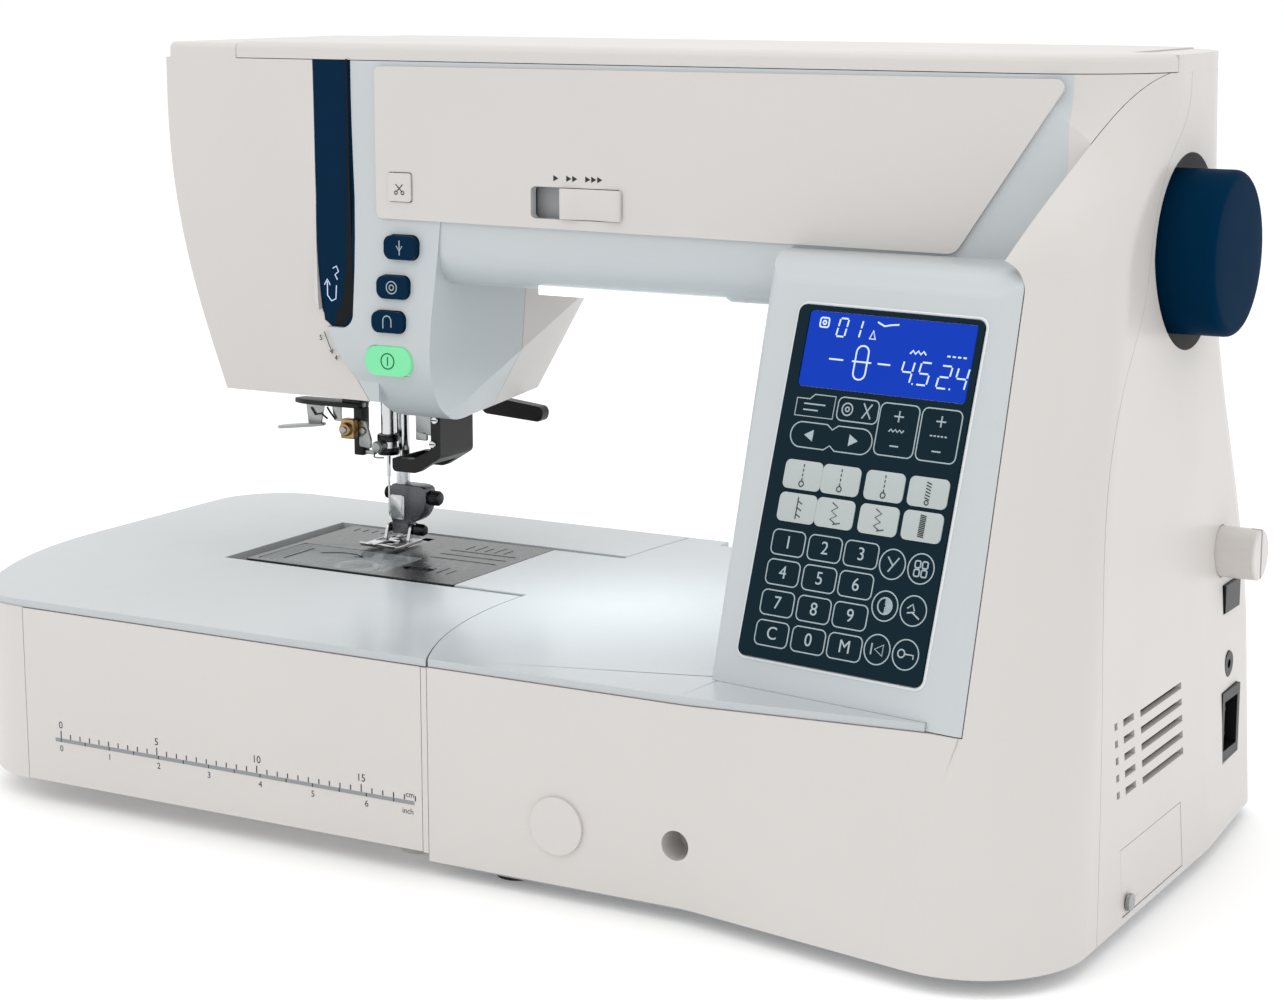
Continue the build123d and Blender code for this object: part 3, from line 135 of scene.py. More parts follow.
def floor():
    """Plain pale floor that fades into the white surroundings."""
    bpy.ops.mesh.primitive_plane_add(size=24, location=(0, 4, 0))
    plane = bpy.context.object
    plane.name = "floor"
    shade = bpy.data.materials.new("floor")
    shade.use_nodes = True
    bsdf = shade.node_tree.nodes["Principled BSDF"]
    bsdf.inputs["Base Color"].default_value = (FLOOR_TONE, FLOOR_TONE, FLOOR_TONE, 1)
    bsdf.inputs["Roughness"].default_value = 0.55
    bsdf.inputs["Emission Color"].default_value = (1, 1, 1, 1)
    bsdf.inputs["Emission Strength"].default_value = FLOOR_GLOW
    plane.data.materials.append(shade)


# ---- materials ------------------------------------------------------------------------------
def new_material(name):
    material = bpy.data.materials.new(name)
    material.use_nodes = True
    return material, material.node_tree, material.node_tree.nodes["Principled BSDF"]


def object_noise(tree, scale, detail=2.0, stretch=(1, 1, 1)):
    """Noise fixed to the object, with an optional stretch."""
    place = tree.nodes.new("ShaderNodeTexCoord")
    mapping = tree.nodes.new("ShaderNodeMapping")
    mapping.inputs["Scale"].default_value = stretch
    noise = tree.nodes.new("ShaderNodeTexNoise")
    noise.inputs["Scale"].default_value = scale
    noise.inputs["Detail"].default_value = detail
    tree.links.new(place.outputs["Object"], mapping.inputs["Vector"])
    tree.links.new(mapping.outputs["Vector"], noise.inputs["Vector"])
    return noise


def spread(tree, noise, low_value, high_value):
    """Map a noise onto a range."""
    ramp = tree.nodes.new("ShaderNodeMapRange")
    ramp.inputs["From Min"].default_value = 0.3
    ramp.inputs["From Max"].default_value = 0.7
    ramp.inputs["To Min"].default_value = low_value
    ramp.inputs["To Max"].default_value = high_value
    tree.links.new(noise.outputs["Fac"], ramp.inputs["Value"])
    return ramp.outputs["Result"]


def vary_colour(tree, bsdf, colour, amount, scale):
    """A faint uneven tone over the surface."""
    noise = object_noise(tree, scale, 4.0)
    ramp = tree.nodes.new("ShaderNodeValToRGB")
    ramp.color_ramp.elements[0].position = 0.3
    ramp.color_ramp.elements[1].position = 0.7
    ramp.color_ramp.elements[0].color = [c * (1 - amount) for c in colour] + [1]
    ramp.color_ramp.elements[1].color = [min(1.0, c * (1 + amount)) for c in colour] + [1]
    tree.links.new(noise.outputs["Fac"], ramp.inputs["Fac"])
    tree.links.new(ramp.outputs["Color"], bsdf.inputs["Base Color"])


def bump(tree, bsdf, height, strength, distance):
    node = tree.nodes.new("ShaderNodeBump")
    node.inputs["Strength"].default_value = strength
    node.inputs["Distance"].default_value = distance
    tree.links.new(height, node.inputs["Height"])
    tree.links.new(node.outputs["Normal"], bsdf.inputs["Normal"])


def plastic(name, colour, rough=0.34, grain=0.10, coat=0.0, tone=0.015, spec=0.5):
    """Moulded plastic: fine spark grain, faint tone and gloss variation."""
    material, tree, bsdf = new_material(name)
    vary_colour(tree, bsdf, colour, tone, 9.0)
    gloss = object_noise(tree, 26.0, 3.0)
    tree.links.new(spread(tree, gloss, rough - 0.035, rough + 0.035), bsdf.inputs["Roughness"])
    bsdf.inputs["Coat Weight"].default_value = coat
    bsdf.inputs["Coat Roughness"].default_value = 0.08
    bsdf.inputs["Specular IOR Level"].default_value = spec
    fine = object_noise(tree, 1500.0, 2.0)
    bump(tree, bsdf, fine.outputs["Fac"], grain, 0.00006)
    return material


def metal(name, colour, rough=0.25, brush=(1, 1, 1), grain=0.2, scale=900.0):
    """Metal with a brushed or ground finish; brush stretches the scratches."""
    material, tree, bsdf = new_material(name)
    bsdf.inputs["Metallic"].default_value = 1.0
    vary_colour(tree, bsdf, colour, 0.06, 40.0)
    scratches = object_noise(tree, scale, 3.0, brush)
    tree.links.new(spread(tree, scratches, rough * 0.7, rough * 1.35), bsdf.inputs["Roughness"])
    bump(tree, bsdf, scratches.outputs["Fac"], grain, 0.00003)
    return material


def clear(name, colour, rough=0.05, alpha=0.35):
    """Clear moulded plastic with faint scuffs."""
    material, tree, bsdf = new_material(name)
    vary_colour(tree, bsdf, colour, 0.02, 30.0)
    bsdf.inputs["Alpha"].default_value = alpha
    bsdf.inputs["IOR"].default_value = 1.49
    scuffs = object_noise(tree, 220.0, 4.0)
    tree.links.new(spread(tree, scuffs, rough, rough + 0.12), bsdf.inputs["Roughness"])
    return material


def glowing(name, colour, strength, edge=None):
    """Lit surface; the tone falls off a little in patches, as behind a diffuser."""
    material, tree, bsdf = new_material(name)
    vary_colour(tree, bsdf, colour, 0.05, 60.0)
    bsdf.inputs["Roughness"].default_value = 0.2
    bsdf.inputs["Specular IOR Level"].default_value = 0.12
    bsdf.inputs["Emission Color"].default_value = (*(edge or colour), 1)
    bsdf.inputs["Emission Strength"].default_value = strength
    fine = object_noise(tree, 700.0, 2.0)
    bump(tree, bsdf, fine.outputs["Fac"], 0.05, 0.00003)
    return material


CREAM = plastic("cream_plastic", (0.60, 0.575, 0.553), 0.33, 0.12, 0.0)
GREY = plastic("light_grey_plastic", (0.505, 0.54, 0.555), 0.32, 0.10, 0.0)
BED = plastic("bed_plastic", (0.47, 0.50, 0.515), 0.22, 0.05, 0.10)
NAVY = plastic("navy_plastic", (0.0006, 0.017, 0.045), 0.34, 0.05, 0.0, 0.03, 0.04)
WHEEL_NAVY = plastic("wheel_plastic", (0.0006, 0.019, 0.050), 0.42, 0.06, 0.0, 0.03, 0.005)
PAD = plastic("keypad_film", (0.003, 0.015, 0.024), 0.34, 0.03, 0.0, 0.03, 0.07)
# Paler than the housing grey: a painted highlight on the real bead round the keypad.
HIGHLIGHT_EDGE = plastic("painted_highlight_edge", (0.72, 0.74, 0.75), 0.30, 0.05)
PRINT = plastic("pale_print", (0.36, 0.44, 0.47), 0.4, 0.02, 0.0, 0.015, 0.1)
KEY = plastic("pale_keys", (0.42, 0.46, 0.46), 0.36, 0.05)
INK = plastic("dark_print", (0.035, 0.04, 0.045), 0.5, 0.02, 0.0, 0.015, 0.1)
RULER_GREY = plastic("ruler_print", (0.24, 0.26, 0.27), 0.4, 0.05)
DEEP_GREEN = plastic("deep_green_print", (0.01, 0.16, 0.05), 0.4, 0.02, 0.0, 0.015, 0.1)
BLACK = plastic("black_plastic", (0.008, 0.008, 0.009), 0.36, 0.15, 0.0, 0.05, 0.30)
WELL = plastic("well_plastic", (0.36, 0.37, 0.38), 0.4, 0.12)
# Near-black for painted shade in the thread slot and the screw slots; the same material prints the arrow on
# the bobbin cover.
SHADE_AND_PRINT = plastic("dark_inside", (0.008, 0.009, 0.011), 0.6, 0.15, 0.0, 0.03, 0.1)
RUBBER = plastic("rubber", (0.02, 0.02, 0.02), 0.75, 0.5, 0.0, 0.08)
BOARD = plastic("circuit_board", (0.01, 0.13, 0.05), 0.35, 0.1)
BELT = plastic("belt", (0.015, 0.015, 0.015), 0.7, 0.4)
LCD = glowing("display_blue", (0.0, 0.012, 0.10), 0.62, (0.0, 0.045, 0.62))
SEGMENT = glowing("display_segments", (0.45, 0.55, 0.75), 0.55)
GREEN = glowing("green_light", (0.10, 0.36, 0.18), 0.62, (0.22, 0.70, 0.38))
LAMP = glowing("lamp_light", (0.85, 0.89, 0.92), 0.8)
STEEL = metal("plate_steel", (0.115, 0.125, 0.125), 0.28, (1.0, 14.0, 1.0), 0.25, 260.0)
BRIGHT = metal("bright_steel", (0.62, 0.63, 0.64), 0.16, (1, 1, 0.1), 0.1)
GROUND = metal("ground_steel", (0.36, 0.37, 0.37), 0.32, (1, 1, 6), 0.25)
GUN = metal("grey_metal", (0.13, 0.135, 0.145), 0.30, (1, 1, 4), 0.2)
CAST = metal("cast_aluminium", (0.45, 0.45, 0.46), 0.5, (1, 1, 1), 0.5, 500.0)
BRONZE = metal("bronze", (0.42, 0.29, 0.13), 0.35)
BLACK_STEEL = metal("blackened_steel", (0.035, 0.036, 0.038), 0.28, (1, 1, 4), 0.15)
CLEAR = clear("clear_plastic", (0.55, 0.60, 0.62))

NODE_MATERIALS = {
    CREAM: ["front_cover", "rear_cover", "face_cover", "arm_panel", "side_hatch", "front_cap",
            "table_body", "table_door", "free_arm_cover", "speed_slider", "balance_dial", "top_caps",
            "lid", "cutter_button"],
    GREY: ["control_housing"],
    BED: ["bed_top", "table_top"],
    NAVY: ["thread_strip", "reverse_button", "lock_button", "needle_button"],
    WHEEL_NAVY: ["hand_wheel"],
    PAD: ["keypad"],
    LCD: ["lcd_window"],
    GREEN: ["start_button"],
    BLACK: ["needle_threader", "guard_bracket", "presser_lifter", "power_rocker", "rear_sockets",
            "rotary_hook", "bobbin_case", "motor", "plate_release"],
    WELL: ["top_tray", "spool_pin", "winder_spindle", "base_plate"],
    RUBBER: ["rubber_feet"],
    BELT: ["drive_belts"],
    BOARD: ["circuit_boards"],
    STEEL: ["needle_plate"],
    BRIGHT: ["needle_bar", "needle", "presser_bar", "presser_foot", "hinge_pins", "take_up_lever",
             "feed_dogs"],
    GROUND: ["main_shaft", "lower_shaft", "motor_pulley", "connecting_link", "housing_screws"],
    GUN: ["foot_holder"],
    CAST: ["cast_frame"],
    BRONZE: ["shaft_bushes"],
    CLEAR: ["bobbin_cover", "bobbin"],
    LAMP: ["led_lens"],
}
# Nodes whose edges are eased, and how.
EASED = [
    "arm_panel", "side_hatch", "front_cap", "table_body", "table_door", "top_caps", "lid", "bed_top",
    "table_top", "needle_plate", "reverse_button", "lock_button", "needle_button", "start_button",
    "cutter_button", "keypad", "presser_lifter", "power_rocker", "rear_sockets", "balance_dial",
    "guard_bracket",
]
EASE_MM = 0.42
EASE_FROM_DEGREES = 38
WELD_MM = 0.002


def dress_nodes():
    """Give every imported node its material, and its moulded edges a small radius."""
    for material, nodes in NODE_MATERIALS.items():
        for node in nodes:
            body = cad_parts[node]
            body.data.materials.clear()
            body.data.materials.append(material)
    for node in EASED:
        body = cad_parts[node]
        weld = body.modifiers.new("weld", "WELD")
        weld.merge_threshold = WELD_MM * MM
        edge = body.modifiers.new("edge", "BEVEL")
        edge.limit_method = "ANGLE"
        edge.angle_limit = math.radians(EASE_FROM_DEGREES)
        edge.width = EASE_MM * MM
        edge.segments = 2
        edge.use_clamp_overlap = True
        shade = body.modifiers.new("shade", "WEIGHTED_NORMAL")
        shade.keep_sharp = True


# ---- mesh helpers ---------------------------------------------------------------------------
def publish(name, mesh, material, body, smooth=True):
    """Make an object of a mesh, give it its material, and let it ride on its body."""
    piece = bpy.data.objects.new(name, mesh)
    bpy.context.scene.collection.objects.link(piece)
    mesh.materials.clear()
    mesh.materials.append(material)
    if smooth:
        for face in mesh.polygons:
            face.use_smooth = True
        mesh.set_sharp_from_angle(angle=math.radians(40))
    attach(piece, body)
    return piece


def from_bmesh(name, bm, material, body, bevel=0.0, segments=2):
    """Publish a bmesh; a bevel in metres eases its sharp edges."""
    bmesh.ops.recalc_face_normals(bm, faces=bm.faces)
    if bevel:
        sharp = [e for e in bm.edges if e.is_manifold and e.calc_face_angle() > math.radians(35)]
        bmesh.ops.bevel(bm, geom=sharp, offset=bevel, segments=segments, affect="EDGES", profile=0.5)
    mesh = bpy.data.meshes.new(name)
    bm.to_mesh(mesh)
    bm.free()
    return publish(name, mesh, material, body)


def rounded_rect(x0, x1, y0, y1, radius, steps=5):
    """Corner points of a rectangle with round corners, counter-clockwise."""
    points = []
    corners = [(x1 - radius, y0 + radius, -90), (x1 - radius, y1 - radius, 0),
               (x0 + radius, y1 - radius, 90), (x0 + radius, y0 + radius, 180)]
    for cx, cy, start in corners:
        for i in range(steps + 1):
            a = math.radians(start + 90 * i / steps)
            points.append((cx + radius * math.cos(a), cy + radius * math.sin(a)))
    return points


def box_outline(a0, a1, b0, b1):
    """Corner points of a plain rectangle, counter-clockwise."""
    return [(a0, b0), (a1, b0), (a1, b1), (a0, b1)]


def circle(cx, cy, radius, steps=28, start=0.0, sweep=360.0):
    """Points on a circle or an arc."""
    count = steps if sweep == 360.0 else steps + 1
    return [(cx + radius * math.cos(math.radians(start + sweep * i / steps)),
             cy + radius * math.sin(math.radians(start + sweep * i / steps))) for i in range(count)]


def add_prism(bm, points, place, z0, z1):
    """Prism over a flat outline in mm; place carries it into the scene."""
    lower = [bm.verts.new(place @ mm(x, y, z0)) for x, y in points]
    upper = [bm.verts.new(place @ mm(x, y, z1)) for x, y in points]
    bm.faces.new(list(reversed(lower)))
    bm.faces.new(upper)
    for i in range(len(points)):
        j = (i + 1) % len(points)
        bm.faces.new((lower[i], lower[j], upper[j], upper[i]))


def add_lathe(bm, profile, place, steps=64):
    """Turned body from (radius, height) points; place's Z is the axis."""
    rings = []
    for radius, height in profile:
        if radius < 1e-6:
            rings.append([bm.verts.new(place @ mm(0, 0, height))])
            continue
        ring = []
        for i in range(steps):
            a = 2 * math.pi * i / steps
            ring.append(bm.verts.new(place @ mm(radius * math.cos(a), radius * math.sin(a), height)))
        rings.append(ring)
    for first, second in zip(rings, rings[1:]):
        for i in range(steps):
            j = (i + 1) % steps
            near = (first[i % len(first)], first[j % len(first)])
            far = (second[j % len(second)], second[i % len(second)])
            corners = list(dict.fromkeys(near + far))
            if len(corners) > 2:
                bm.faces.new(corners)


def stroke_mesh(lines, place, radius):
    """One mesh of thin round strokes; each line is (points, closed) in mm."""
    curve = bpy.data.curves.new("strokes", "CURVE")
    curve.dimensions = "3D"
    curve.bevel_depth = radius * MM
    curve.bevel_resolution = 1
    curve.use_fill_caps = True
    for points, closed in lines:
        spline = curve.splines.new("POLY")
        spline.points.add(len(points) - 1)
        for slot_point, point in zip(spline.points, points):
            z = point[2] if len(point) > 2 else 0.0
            slot_point.co = (*(place @ mm(point[0], point[1], z)), 1)
        spline.use_cyclic_u = closed
    return curve_to_mesh(curve)


def curve_to_mesh(curve):
    """The mesh of a curve or text, without its object."""
    holder = bpy.data.objects.new("holder", curve)
    bpy.context.scene.collection.objects.link(holder)
    graph = bpy.context.evaluated_depsgraph_get()
    mesh = bpy.data.meshes.new_from_object(holder.evaluated_get(graph))
    bpy.data.objects.remove(holder)
    return mesh


def strokes(name, lines, place, radius, material, body):
    """Publish thin round strokes; the radius is in mm."""
    return publish(name, stroke_mesh(lines, place, radius), material, body)


def text_mesh(items, place, thick=0.12):
    """One mesh of characters; each item is (text, x, y, size) in mm."""
    bm = bmesh.new()
    for words, x, y, size in items:
        curve = bpy.data.curves.new("text", "FONT")
        curve.body = words
        curve.size = size * MM
        curve.extrude = thick * MM / 2
        curve.align_x = "CENTER"
        curve.align_y = "CENTER"
        mesh = curve_to_mesh(curve)
        mesh.transform(place @ Matrix.Translation(mm(x, y, 0)))
        bm.from_mesh(mesh)
        bpy.data.meshes.remove(mesh)
    mesh = bpy.data.meshes.new("text")
    bm.to_mesh(mesh)
    bm.free()
    return mesh


def characters(name, items, place, material, body, thick=0.12):
    """Publish raised characters; their thickness is in mm."""
    return publish(name, text_mesh(items, place, thick), material, body, smooth=False)


def axes(origin, x_dir, y_dir):
    """Matrix of a local frame with X, Y and their normal."""
    x_dir = Vector(x_dir).normalized()
    z_dir = x_dir.cross(Vector(y_dir)).normalized()
    y_dir = z_dir.cross(x_dir)
    turn = Matrix((x_dir, y_dir, z_dir)).transposed().to_4x4()
    return Matrix.Translation(origin) @ turn


def facing_front(y):
    """Drawing plane on a front face: X across, Y up, out towards the operator."""
    return axes(Vector((0, y, 0)), (1, 0, 0), (0, 0, 1))


def facing_side(x):
    """Drawing plane on the right side: X towards the back, Y up."""
    return axes(Vector((x, 0, 0)), (0, 1, 0), (0, 0, 1))


# ---- keypad and display ---------------------------------------------------------------------
PANEL_AT = mm(160.5, -72.9, 157.2)
PANEL_YAW = -0.162
PANEL_LEAN = 0.307
PAD_FACE = 1.2
LCD_FACE = 1.0
PAD_X, PAD_Y = (-39.2, 39.2), (-64.5, 64.5)
across = Vector((1, PANEL_YAW, 0)).normalized()
outward = Vector((PANEL_YAW, -1, PANEL_LEAN)).normalized()
PANEL = axes(PANEL_AT, across, outward.cross(across))
ON_PAD = PANEL @ Matrix.Translation(mm(0, 0, PAD_FACE))
ON_LCD = PANEL @ Matrix.Translation(mm(0, 0, LCD_FACE))

NUMBER_X = (-25.6, -9.7, 5.9)
NUMBER_Y = (-22.2, -33.1, -44.2, -55.3)
ROUND_X = (19.4, 31.2)
ROUND_Y = (-23.8, -38.6, -54.0)
STITCH_X = (-24.4, -8.0, 10.6, 28.8)
STITCH_Y = (2.7, -9.3)
PLUS_X = (11.3, 28.8)
ARROW_Y = 17.3


def key_outline(cx, cy, w, h, r=2.2):
    """Outline of a key round its centre."""
    return rounded_rect(cx - w / 2, cx + w / 2, cy - h / 2, cy + h / 2, r)


def keypad_lines():
    """Printed outlines of the keys."""
    lines = [(key_outline(x, y, 14.2, 9.0), True) for x in NUMBER_X for y in NUMBER_Y]
    lines += [(circle(x, y, 5.3), True) for x in ROUND_X for y in ROUND_Y]
    mode = [(-33, 24), (-16.5, 24), (-16.5, 32.2), (-25.5, 32.2), (-27.5, 30.4), (-33, 30.4)]
    lines += [(mode, True), (key_outline(-6.3, 28.2, 17.4, 8.4), True)]
    lines += [(key_outline(x, 22.9, 16.4, 18.6, 2.4), True) for x in PLUS_X]
    left = circle(-28.6, ARROW_Y, 4.6, 14, 90, 180)
    right = circle(-2.6, ARROW_Y, 4.6, 14, -90, 180)
    below = [(-18, 12.7), (-15.6, 14.4), (-13.2, 12.7)]
    above = [(-13.2, 21.9), (-15.6, 20.2), (-18, 21.9)]
    lines.append((left + below + right + above, True))
    return lines


def keypad_icons():
    """Generic symbols on the keys, as strokes."""
    icons = []
    for x in PLUS_X:
        icons += [([(x - 2, 27.8), (x + 2, 27.8)], False), ([(x, 29.8), (x, 25.8)], False)]
        icons += [([(x - 1.8, 17.2), (x + 1.8, 17.2)], False)]
    icons.append(([(8 + 0.9 * i, 22.2 + (0.9 if i % 2 else 0)) for i in range(8)], False))
    icons += [([(25.2 + 1.5 * i, 22.6), (26.1 + 1.5 * i, 22.6)], False) for i in range(5)]
    icons += [(circle(-10.8, 28.2, 2.2), True), (circle(-10.8, 28.2, 0.8, 12), True)]
    icons += [([(-4.2, 31), (-0.6, 25.6)], False), ([(-0.6, 31), (-4.2, 25.6)], False)]
    icons += [([(-29.6, 28.6), (-20.4, 28.6)], False), ([(-29.6, 26.4), (-23.2, 26.4)], False)]
    x, y = ROUND_X[0], ROUND_Y[0]
    icons.append(([(x - 2.2, y + 2.4), (x + 0.2, y - 0.4)], False))
    icons.append(([(x + 2.4, y + 2.6), (x - 1.4, y - 2.8)], False))
    x, y = ROUND_X[1], ROUND_Y[0]
    for dx in (-1.5, 1.5):
        icons += [(key_outline(x + dx, y + dy, 2.2, 2.4, 0.6), True) for dy in (1.4, -1.6)]
    x, y = ROUND_X[0], ROUND_Y[1]
    icons.append((circle(x, y, 2.9), True))
    icons += [(circle(x, y, r, 12, -90, 180), False) for r in (0.6, 1.2, 1.8, 2.4)]
    x, y = ROUND_X[1], ROUND_Y[1]
    icons.append(([(x - 2.6, y + 0.6), (x - 0.6, y + 2.2), (x + 0.4, y)], False))
    icons.append(([(x - 0.4, y - 0.6), (x + 2.8, y - 2.6)], False))
    icons.append(([(x - 2.4, y - 1), (x + 0.6, y - 0.4)], False))
    x, y = ROUND_X[0], ROUND_Y[2]
    icons.append(([(x - 2.4, y + 2), (x - 2.4, y - 2)], False))
    icons.append(([(x + 2.4, y + 2), (x - 1, y), (x + 2.4, y - 2)], True))
    x, y = ROUND_X[1], ROUND_Y[2]
    icons.append((circle(x - 1.8, y + 0.2, 1.4, 12), True))
    icons.append(([(x - 0.4, y + 0.2), (x + 3.2, y + 0.2), (x + 3.2, y - 1.2)], False))
    return icons


def stitch_marks():
    """Stitch pictures on the pale keys, as strokes."""
    marks = []
    for row, y in enumerate(STITCH_Y):
        for column, x in enumerate(STITCH_X):
            kind = row * 4 + column
            if kind < 3:
                marks += [([(x, y + 4 - 1.7 * i), (x, y + 3 - 1.7 * i)], False) for i in range(4)]
                marks.append((circle(x, y - 3.2, 1.0, 12), True))
            elif kind == 3:
                marks += [([(x - 1, y + 3.6 - 1.1 * i), (x + 1, y + 3 - 1.1 * i)], False) for i in range(6)]
                marks.append((circle(x, y - 3.6, 0.8, 12), True))
            elif kind == 4:
                marks.append(([(x, y + 4), (x, y - 4)], False))
                marks += [([(x, y + 2.6 - 2.4 * i), (x + 2, y + 1.6 - 2.4 * i)], False) for i in range(3)]
            elif kind < 7:
                zigzag = [(x - 1.5 + (2.6 if i % 2 else 0), y + 3.8 - 1.5 * i) for i in range(6)]
                marks.append((zigzag, False))
                marks.append(([(x, y - 3.9), (x + 3, y - 3.2)], False))
            else:
                satin = [((x - 1.2, y + 4 - 0.62 * i), (x + 1.2, y + 3.7 - 0.62 * i)) for i in range(13)]
                marks += [(list(ends), False) for ends in satin]
    return marks


SEGMENTS = {
    "a": ((0, 1), (1, 1)), "b": ((1, 1), (1, 0.5)), "c": ((1, 0.5), (1, 0)), "d": ((1, 0), (0, 0)),
    "e": ((0, 0), (0, 0.5)), "f": ((0, 0.5), (0, 1)), "g": ((0, 0.5), (1, 0.5)),
}
SLANT = 0.14
TRIM = 0.10
DIGITS = {"0": "abcdef", "1": "bc", "2": "abged", "4": "fgbc", "5": "afgcd"}


def seven_segment(text, x, y, w, h, step):
    """Strokes of slanted seven-segment digits."""
    lines = []
    for sign in text:
        if sign == ".":
            lines.append(([(x - step * 0.22, y), (x - step * 0.22 + 0.5, y)], False))
            continue
        for key in DIGITS[sign]:
            (x0, y0), (x1, y1) = SEGMENTS[key]
            ax, ay = x + x0 * w + y0 * h * SLANT, y + y0 * h
            bx, by = x + x1 * w + y1 * h * SLANT, y + y1 * h
            lines.append(([(ax + (bx - ax) * TRIM, ay + (by - ay) * TRIM),
                           (bx - (bx - ax) * TRIM, by - (by - ay) * TRIM)], False))
        x += step
    return lines


def display_lines():
    """What the display shows: stitch number, stitch picture, width and length."""
    lines = seven_segment("01", -21.5, 54.0, 3.6, 6.6, 6.2)
    lines += seven_segment("4.5", 8.2, 39.8, 4.4, 8.0, 7.2)
    lines += seven_segment("2.4", 23.8, 39.4, 4.4, 8.0, 7.0)
    lines += [([(-22.5, 45.6), (-16.5, 45.6)], False), ([(-12.6, 45.6), (-4.5, 45.6)], False)]
    lines += [([(-1.6, 45.6), (3.6, 45.6)], False)]
    lines.append((rounded_rect(-11.4, -6.2, 39.2, 51.4, 2.4), True))
    lines.append(([(11 + 1.1 * i, 50.4 + (1.2 if i % 2 else 0)) for i in range(7)], False))
    lines += [([(26.4 + 2.2 * i, 50.8), (27.6 + 2.2 * i, 50.8)], False) for i in range(4)]
    lines += [([(-7.0, 54.2), (-5.8, 57.2), (-4.6, 54.2)], True)]
    lines.append(([(-4.6, 60.4), (-1.6, 59.2), (1.0, 59.8), (4.4, 60.2)], False))
    lines += [(rounded_rect(-29.2, -25.4, 56.8, 60.2, 0.8), True), (circle(-27.3, 58.5, 0.7, 10), True)]
    return lines


def control_panel():
    """Everything printed or raised on the keypad, and what the display shows."""
    # A real bead round the keypad, coloured paler than the housing as a painted highlight of its edge.
    bead = rounded_rect(PAD_X[0] - 0.7, PAD_X[1] + 0.7, PAD_Y[0] - 0.7, PAD_Y[1] + 0.7, 3.7)
    strokes("keypad_bead_highlight", [(bead, True)], PANEL, 0.6, HIGHLIGHT_EDGE, "machine")
    strokes("keypad_outlines", keypad_lines(), ON_PAD, 0.26, PRINT, "machine")
    strokes("keypad_icons", keypad_icons(), ON_PAD, 0.30, PRINT, "machine")
    labels = [str(3 * row + column + 1) for row in range(3) for column in range(3)] + ["C", "0", "M"]
    places = [(x, y) for y in NUMBER_Y for x in NUMBER_X]
    items = [(label, x, y, 6.6) for label, (x, y) in zip(labels, places)]
    characters("keypad_numbers", items, ON_PAD, PRINT, "machine", 0.3)
    bm = bmesh.new()
    for sign in (-1, 1):
        x = -15.6 + sign * 9.4
        tip, foot = x + sign * 2.2, x - sign * 1.6
        arrow = [(tip, ARROW_Y), (foot, 19.4), (foot, 15.2)][::sign]
        add_prism(bm, arrow, ON_PAD, -0.05, 0.22)
    from_bmesh("keypad_arrows", bm, PRINT, "machine")
    bm = bmesh.new()
    for x in STITCH_X:
        for y in STITCH_Y:
            add_prism(bm, key_outline(x, y, 16.4, 10.6, 2.2), ON_PAD, -0.1, 0.5)
    from_bmesh("stitch_keys", bm, KEY, "machine", 0.00015)
    on_key = ON_PAD @ Matrix.Translation(mm(0, 0, 0.5))
    strokes("stitch_marks", stitch_marks(), on_key, 0.22, INK, "machine")
    strokes("display_segments", display_lines(), ON_LCD, 0.34, SEGMENT, "machine")


# ---- marks on the table and the arm ---------------------------------------------------------
RULER_Z = 27.8
RULER_X0 = -179.0
RULER_CM = 17
RULER_END = -4.5
MARK_HALF = 0.22


def ruler():
    """Measuring bar on the drop-down front: centimetres above, inches below."""
    face = facing_front(low("table_door").y)
    bm = bmesh.new()
    bar = box_outline(RULER_X0 - 3, RULER_END, RULER_Z - 0.75, RULER_Z + 0.75)
    add_prism(bm, bar, face, -0.1, 0.12)
    from_bmesh("ruler_bar", bm, RULER_GREY, "table_door")
    bm = bmesh.new()
    for i in range(2 * RULER_CM + 2):
        x = RULER_X0 + 5 * i
        tall = 3.0 if i % 10 == 0 else 2.0
        mark = box_outline(x - MARK_HALF, x + MARK_HALF, RULER_Z + 0.9, RULER_Z + 0.9 + tall)
        add_prism(bm, mark, face, -0.1, 0.10)
    for i in range(14):
        x = RULER_X0 + 12.7 * i
        mark = box_outline(x - MARK_HALF, x + MARK_HALF, RULER_Z - 0.75, RULER_Z + 0.75)
        add_prism(bm, mark, face, 0.02, 0.16)
    from_bmesh("ruler_marks", bm, INK, "table_door")
    items = [(str(5 * i), RULER_X0 + 50 * i, RULER_Z + 6.3, 4.2) for i in range(4)]
    items += [(str(i), RULER_X0 + 25.4 * i, RULER_Z - 3.6, 3.6) for i in range(7)]
    items += [("cm", -6.5, RULER_Z + 3.0, 3.2), ("inch", -7.5, RULER_Z - 3.6, 3.2)]
    characters("ruler_numbers", items, face, INK, "table_door")


def arm_marks():
    """Speed triangles above the slider and scissors on the thread cutter."""
    face = facing_front(low("arm_panel").y)
    bm = bmesh.new()
    x = 2.0
    for group in (1, 2, 3):
        for _ in range(group):
            add_prism(bm, [(x, 256.9), (x + 2.3, 258.1), (x, 259.3)], face, -0.05, 0.08)
            x += 2.7
        x += 3.2
    from_bmesh("speed_marks", bm, INK, "machine")
    cutter = middle("cutter_button") / MM
    on_cutter = facing_front(low("cutter_button").y)
    cx, cz = cutter.x, cutter.z
    lines = [([(cx - side * 1.7, cz + 1.2), (cx + side * 1.2, cz - 1.6)], False) for side in (1, -1)]
    lines += [(circle(cx - side * 1.6, cz - 2.2, 0.7, 10), True) for side in (1, -1)]
    strokes("cutter_icon", lines, on_cutter, 0.22, INK, "cutter_button")


